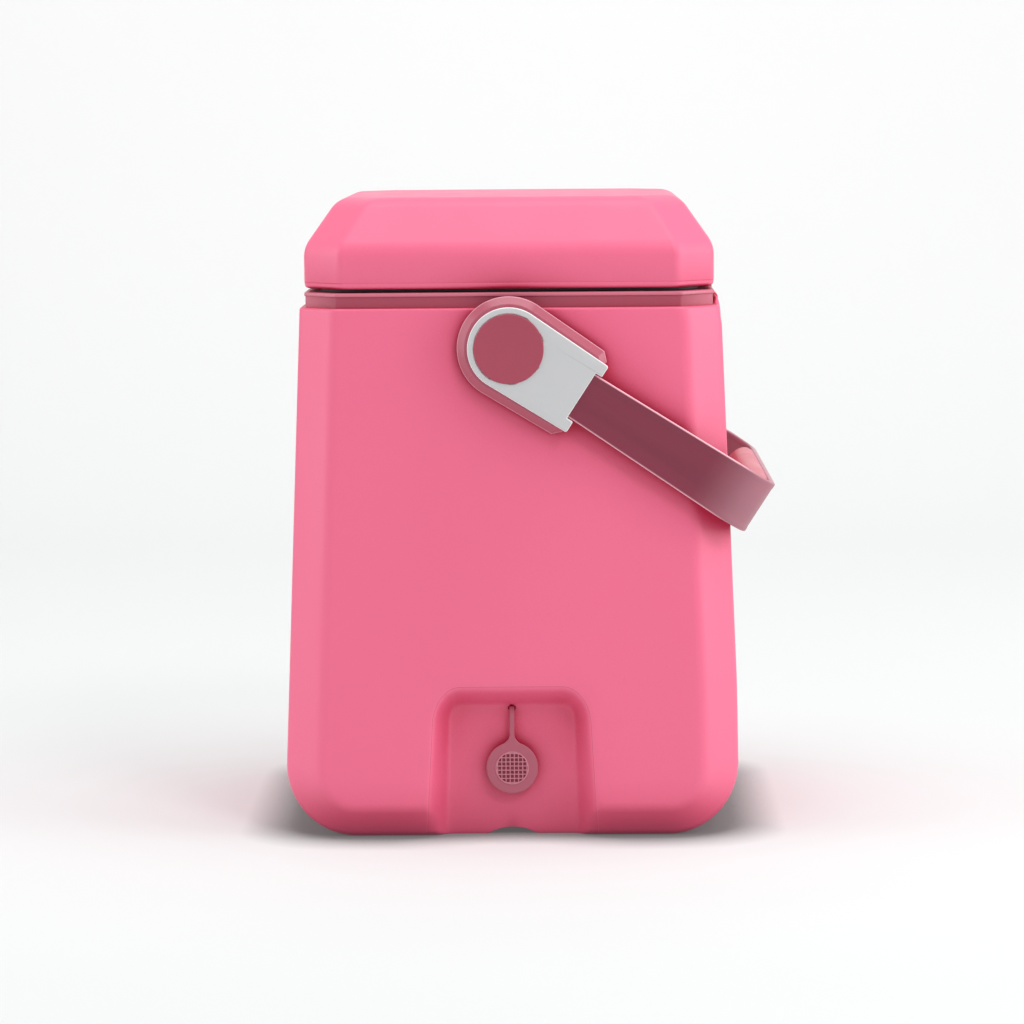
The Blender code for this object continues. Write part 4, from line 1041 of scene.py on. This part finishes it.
def make_plate(side, label):
    """The cover plate: its outline at several insets, a flat face, and a round seat for the cap.

    The face is ruled between the outline and the seat's circle. The circle's angle goes from 0 to 46
    degrees along the slot, to 50 along the prong, to 90 along the side, and follows the hub from there.
    """
    edge = PLATE_EDGE
    turn = np.linspace(0, math.pi / 2, 5)
    seat = CAP_RADIUS + 0.0004
    rows = [(edge * 0.4, PLATE_BACK), (0.0, PLATE_BACK + 0.0003)]
    rows += [(edge * (1 - math.cos(a)), PLATE_FRONT - edge + edge * math.sin(a)) for a in turn]
    outlines = [on_bail(*mirrored(plate_outline(inset))[:-1].T, side * y) for inset, y in rows]
    upper = plate_outline(edge)
    run = np.concatenate([[0], np.cumsum(np.hypot(*np.diff(upper, axis=0).T))])
    prong = PLATE_SLOT_HALF + (PLATE_TIP - PLATE_SLOT_END)
    side_end = run[len(upper) - 40]
    angle = np.interp(run, (0, PLATE_SLOT_HALF, prong, side_end, run[-1]), np.radians((0, 46, 50, 90, 180)))
    angle = np.concatenate([angle, -angle[-2:0:-1]])

    def circle(radius, y):
        """One ring of the seat, at the ruled angles."""
        return on_bail(radius * np.cos(angle), radius * np.sin(angle), side * y)

    seat_floor = PLATE_FRONT - 0.0011
    face = [circle(seat + 0.0003, PLATE_FRONT), circle(seat, PLATE_FRONT - 0.0003), circle(seat, seat_floor)]
    under = [circle(PLATE_HOLE, PLATE_BACK)]
    floor = [circle(PLATE_HOLE, seat_floor)]
    grid = np.stack([*floor, *under, *outlines, *face, *floor])
    finish = with_painted_light("grey_plate", "grey_plate_" + label, PLATE_EDGE_HIGHLIGHT)
    cover = make_piece("pivot_cover_" + label, [(grid, True)], finish, "bail",
                       ("pivot_plate_" + label,), 42.0)
    high, low = PLATE_FRONT - 0.00002, PLATE_FRONT - 0.0003
    # A painted highlight along the edge of the plate's face.
    store(cover, "painted_light", lambda x, y, z: smooth_step(high, low, np.abs(y)))


def make_cap(side, label):
    """The pivot's cap: a turned disc, its face crowned by 0.15 mm, with a small round at its edge."""
    crown = np.linspace(CAP_RADIUS - 0.0012, 0, 14)
    face = np.stack([crown, CAP_FACE + CAP_CROWN * (1 - (crown / CAP_RADIUS) ** 2)], axis=-1)
    back = PLATE_FRONT - 0.0008
    rim = soft_path([(0.0, back), (CAP_RADIUS, back), (CAP_RADIUS, CAP_FACE), face[0]],
                    (0.0, 0.0001, 0.0007, 0.0), 6)
    grid = turned(np.concatenate([rim, face[1:]]), (0.0, PIVOT_Z), side, 128)
    make_piece("pivot_button_" + label, [(grid, True)], FINISHES["rose_cap"], "bail",
               ("pivot_cap_" + label,), 40.0)


# ---- drain plug ----

def plug_reach(turn):
    """The plug's outline from its centre: a circle, and at the top the neck, whose half-width falls to
    the tether's as the square of what is left of its height."""
    share = np.linspace(0, 1, 60)
    neck_low = PLUG_RADIUS * 0.80
    half = TETHER_WIDTH / 2 + 0.0080 * (1 - share) ** 2
    height = neck_low + share * (NECK_HEIGHT - neck_low)
    angle = np.arctan2(half, height)
    reach = np.hypot(half, height)
    lean = np.abs(turn - math.pi / 2)
    top = NECK_HEIGHT / np.cos(np.minimum(lean, 1.0))
    neck = np.where(lean < angle[-1], top, np.interp(lean, angle[::-1], reach[::-1], right=0.0))
    return np.maximum(PLUG_RADIUS, np.where(lean < angle[0], neck, 0.0))


def waffle(x, z):
    """Height of the disc on the plug's head: a raised rim and, inside it, ribs round sunk squares."""
    radius = np.hypot(x, z)
    cell = np.abs((np.stack([x, z]) / WAFFLE_PITCH + 0.5) % 1.0 - 0.5)
    pit = smooth_step(0.40, 0.32, np.maximum(cell[0], cell[1]))
    inside = smooth_step(PLUG_DISC - 0.0009, PLUG_DISC - 0.0013, radius)
    disc = smooth_step(PLUG_DISC, PLUG_DISC - 0.0004, radius)
    return WAFFLE_RAISE * disc - WAFFLE_SINK * pit * inside


def make_plug():
    """The plug: a head whose outline is plug_reach, with a waffled disc, and a turned stem behind."""
    lean = spaced((0.0, 0.08, 0.62, math.pi), (8, 56, 150))
    turn = math.pi / 2 + np.concatenate([lean[:-1], -lean[:0:-1]])
    reach = plug_reach(turn)
    edge = PLUG_EDGE
    arc = np.linspace(0, math.pi / 2, 5)
    rows = []

    def ring(radius, y):
        """Adds a ring of the given radius round the plug's axis."""
        x, z = radius * np.cos(turn), radius * np.sin(turn)
        rows.append(np.stack([x, np.full(len(turn), y), PLUG_Z + z], axis=-1))

    stem = ((0.0, -PLUG_STEM_END), (PLUG_STEM - 0.0012, -PLUG_STEM_END),
            (PLUG_STEM, -PLUG_STEM_END - 0.0012), (PLUG_STEM, -PLUG_BACK))
    for radius, y in stem:
        ring(np.full(len(turn), radius), y)
    for radius in (0.009, 0.013):
        ring(np.full(len(turn), radius), -PLUG_BACK)
    for a in arc:
        ring(reach - edge * (1 - np.sin(a)), -PLUG_BACK - edge * (1 - np.cos(a)))
    face_y = -PLUG_FACE + WAFFLE_RAISE
    for a in arc:
        ring(reach - edge * (1 - np.cos(a)), face_y + edge * (1 - np.sin(a)))
    ring(np.minimum(reach - 0.0012, PLUG_RADIUS - 0.0012), face_y)
    for radius in spaced((PLUG_DISC + 0.0008, PLUG_DISC + 0.0002, PLUG_DISC - 0.0016, 0.0), (2, 12, 60)):
        x, z = radius * np.cos(turn), radius * np.sin(turn)
        rows.append(np.stack([x, face_y - waffle(x, z), PLUG_Z + z], axis=-1))
    # Painted highlight on the ribs and the head's edge, painted shade in the pits.
    finish = with_painted_light("plug_rubber", "rose_rubber_waffled", RIB_HIGHLIGHT, WAFFLE_PIT_SHADE)
    head = make_piece("drain_plug_head", [(np.stack(rows), True)], finish, "plug",
                      ("drain_plug",), 50.0)

    def rib_light_share(x, y, z):
        """1, a painted highlight, on the disc's ribs and the head's edge, 0 on the face, and -1, painted
        shade, down in the pits.
        """
        radius = np.hypot(x, z - PLUG_Z)
        height = -y + face_y
        disc = np.where(height > 0, smooth_step(0.0001, 0.0004, height), -smooth_step(0.0, 0.0003, -height))
        rim = smooth_step(0.00012, 0.00030, -height) * (height > -edge * 1.2)
        return np.where(radius < PLUG_DISC + 0.0004, disc, rim)

    store(head, "painted_light", rib_light_share)


def make_tether():
    """The tether: a flat band with round edges from the neck up into its hole."""
    low = PLUG_Z + NECK_HEIGHT - 0.0004
    front = PLUG_BACK + 0.0004
    high = TETHER_HOLE_Z - 0.0004
    line = soft_path([(front, low), (front, high), (TETHER_END, high)], (0, 0.0055, 0), 14)
    line = np.concatenate([np.linspace(line[0], line[1], 12, endpoint=False), line[1:]])
    ahead = np.gradient(line, axis=0)
    ahead /= np.linalg.norm(ahead, axis=1, keepdims=True)
    half = TETHER_WIDTH / 2
    section = soft_path([(-half, 0.0), (half, 0.0), (half, TETHER_THICKNESS), (-half, TETHER_THICKNESS)],
                        0.0006, 5, closed=True)
    y = line[:, :1] + ahead[:, 1:] * section[:, 1]
    z = line[:, 1:] - ahead[:, :1] * section[:, 1]
    grid = np.stack(np.broadcast_arrays(section[:, 0], -y, z), axis=-1)
    tether = make_piece("plug_tether_band", [(capped(grid), True)], FINISHES["plug_rubber"], "cooler_body",
                        ("plug_tether",), 50.0)
    # It rides on no body: its parent is cleared and its place is baked into its points.
    tether.parent = None
    del tether["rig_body"]
    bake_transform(tether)


# ---- frame nodes that keep their shape ----

def smooth_copy(node, slot_name, body, bevel=0.0):
    """A welded, smooth-shaded copy of a node that stands for it, with its edges eased by a bevel."""
    mesh = frame["nodes"][node].data.copy()
    bm = bmesh.new()
    bm.from_mesh(mesh)
    bmesh.ops.remove_doubles(bm, verts=bm.verts, dist=1e-6)
    bmesh.ops.dissolve_limit(bm, angle_limit=math.radians(0.5), verts=bm.verts, edges=bm.edges)
    bm.to_mesh(mesh)
    bm.free()
    mesh.shade_smooth()
    mesh.set_sharp_from_angle(angle=math.radians(32))
    mesh.materials.clear()
    mesh.materials.append(FINISHES[slot_name])
    piece = bpy.data.objects.new(node + "_finished", mesh)
    bpy.context.scene.collection.objects.link(piece)
    if bevel:
        ease = piece.modifiers.new("eased_edges", "BEVEL")
        ease.width = bevel
        ease.segments = 2
        ease.limit_method = "ANGLE"
        ease.angle_limit = math.radians(40)
        ease.harden_normals = True
    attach(piece, body)
    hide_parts(node)
    return piece


SLOTS = {part["node"]: part["material_slot"] for part in frame["record"]["subparts"]}
BODIES = frame["record"]["behaviour"]["bodies"]
BEVELLED = {"inner_liner": 0.0006, "lid_liner": 0.0008, "drain_nut": 0.0004, "drain_fitting": 0.0003}


def finish_nodes():
    """Gives every node its slot's finish, and those that keep their shape a smooth copy."""
    for body, names in BODIES.items():
        for name in names:
            item = frame["nodes"][name]
            item.data.materials.clear()
            item.data.materials.append(FINISHES[SLOTS[name]])
            if not item.hide_render:
                smooth_copy(name, SLOTS[name], body, BEVELLED.get(name, 0.0))


# ---- stage, light and camera ----

FLOOR_TONE = (0.675, 0.70, 0.697)
BACKDROP_TONE = (0.88, 0.88, 0.88)
SWEEP_GREY = (0.80, 0.80, 0.80)
# The grey of the painted contact shadow under the cooler.
CONTACT_SHADOW_GREY = (0.16, 0.16, 0.16)
SWEEP_GLOW = 0.13
CONTACT_REACH = 0.045
ROOM_LIGHT = 0.40
COOLER = (0.0, 0.0, 0.2)
BACKDROP = (0.0, 3.2, 1.0)
CAMERA_PLACE = (0.03433, -2.73979, 0.48355)
CAMERA_YAW = math.radians(0.730)
CAMERA_PITCH = math.radians(5.904)
CAMERA_ROLL = math.radians(0.45)
LENS = 140.625


def make_stage():
    """A pale sweep: the floor, a curve of 1.6 m behind, and an upright backdrop.

    It glows faintly, and is painted a little darker on the floor, so that it shows one even tone.
    Occlusion within CONTACT_REACH darkens its paint and its glow where the cooler stands on it: a painted
    contact shadow.
    """
    made, tree, shader = new_material("pale_sweep")
    place = add_node(tree, "ShaderNodeTexCoord")
    axes = add_node(tree, "ShaderNodeSeparateXYZ")
    tree.links.new(place.outputs["Object"], axes.inputs[0])
    paint = mixed(tree, ranged(tree, axes.outputs["Y"], 0.0, 1.0, 0.4, 3.0), FLOOR_TONE, BACKDROP_TONE)
    paint = mixed(tree, ranged(tree, noise(tree, 3.0, 2.0), 0.0, 0.06), paint, SWEEP_GREY)
    # A painted contact shadow: occlusion darkens the paint and the glow under the cooler.
    near = add_node(tree, "ShaderNodeAmbientOcclusion", samples=16, Distance=CONTACT_REACH)
    contact_shadow = ranged(tree, near.outputs["AO"], 1.0, 0.0, *OCCLUSION)
    tree.links.new(mixed(tree, contact_shadow, paint, CONTACT_SHADOW_GREY), shader.inputs["Base Color"])
    tree.links.new(mixed(tree, contact_shadow, (1.0, 1.0, 1.0), (0.7, 0.7, 0.7)), shader.inputs["Emission Color"])
    shader.inputs["Emission Strength"].default_value = SWEEP_GLOW
    shader.inputs["Roughness"].default_value = 0.9
    shader.inputs["Specular IOR Level"].default_value = 0.1
    path = soft_path([(-4.0, 0.0), (3.2, 0.0), (3.2, 4.5)], (0, 1.6, 0), 24)
    x = np.linspace(-5.0, 5.0, 11)
    grid = np.stack(np.broadcast_arrays(x[None], path[:, :1], path[:, 1:]), axis=-1)
    mesh = bpy.data.meshes.new("studio_sweep")
    mesh.from_pydata(grid.reshape(-1, 3).tolist(), [], grid_quads(len(path), len(x), False, 0).tolist())
    mesh.shade_smooth()
    mesh.materials.append(made)
    sweep = bpy.data.objects.new("studio_sweep", mesh)
    bpy.context.scene.collection.objects.link(sweep)


def add_light(name, place, aim, size, power):
    """A rectangular soft light at a place, turned towards its aim."""
    data = bpy.data.lights.new(name, "AREA")
    data.shape = "RECTANGLE"
    data.size, data.size_y = size
    data.energy = power
    lamp = bpy.data.objects.new(name, data)
    bpy.context.scene.collection.objects.link(lamp)
    back = np.array(place, float) - np.array(aim, float)
    back /= np.linalg.norm(back)
    right = np.cross((0.0, 0.0, 1.0) if abs(back[2]) < 0.99 else (0.0, 1.0, 0.0), back)
    right /= np.linalg.norm(right)
    up = np.cross(back, right)
    turn = Matrix(np.column_stack([right, up, back]).tolist()).to_4x4()
    turn.translation = place
    lamp.matrix_world = turn


def make_light():
    """An even white room, five soft lights, and their aims: the cooler, and the backdrop for the wash."""
    world = bpy.data.worlds.new("soft_room")
    world.use_nodes = True
    room = world.node_tree.nodes["Background"]
    room.inputs["Color"].default_value = (1.0, 1.0, 1.0, 1.0)
    room.inputs["Strength"].default_value = ROOM_LIGHT
    bpy.context.scene.world = world
    add_light("overhead_softbox", (0.1, -0.3, 2.2), COOLER, (2.0, 1.6), 24.0)
    add_light("side_right", (2.1, -0.5, 0.9), COOLER, (1.6, 1.8), 24.0)
    add_light("side_left", (-2.1, -0.4, 0.9), COOLER, (1.6, 1.8), 17.0)
    add_light("key_front", (1.3, -2.3, 2.5), COOLER, (0.8, 0.8), 20.0)
    add_light("backdrop_wash", (0.0, 1.2, 2.6), BACKDROP, (4.0, 0.6), 18.0)


def plain_colours():
    """Shows colours as they are lit, with no film curve."""
    bpy.context.scene.view_settings.view_transform = "Standard"
    bpy.context.scene.view_settings.look = "None"


def make_camera():
    """The camera, from its place, yaw, pitch and roll: forward is (-sin y cos p, cos y cos p, -sin p)."""
    yaw, pitch, roll = CAMERA_YAW, CAMERA_PITCH, CAMERA_ROLL
    forward = (-math.sin(yaw) * math.cos(pitch), math.cos(yaw) * math.cos(pitch), -math.sin(pitch))
    forward = np.array(forward)
    level = np.array((math.cos(yaw), math.sin(yaw), 0.0))
    above = np.cross(level, forward)
    right = math.cos(roll) * level - math.sin(roll) * above
    up = math.sin(roll) * level + math.cos(roll) * above
    data = bpy.data.cameras.new("studio_camera")
    data.lens = LENS
    data.sensor_width = 36.0
    data.clip_start, data.clip_end = 0.1, 60.0
    camera = bpy.data.objects.new("studio_camera", data)
    bpy.context.scene.collection.objects.link(camera)
    turn = Matrix(np.column_stack([right, up, -forward]).tolist()).to_4x4()
    turn.translation = CAMERA_PLACE
    camera.matrix_world = turn
    bpy.context.scene.camera = camera


make_body_shell()
make_hinge_cheeks()
make_hinge()
make_collar()
make_lid()
make_strap()
make_grip()
for pivot_side, pivot_label in SIDES:
    make_housing(pivot_side, pivot_label)
    make_plate(pivot_side, pivot_label)
    make_cap(pivot_side, pivot_label)
make_plug()
make_tether()
finish_nodes()
make_stage()
make_light()
plain_colours()
make_camera()
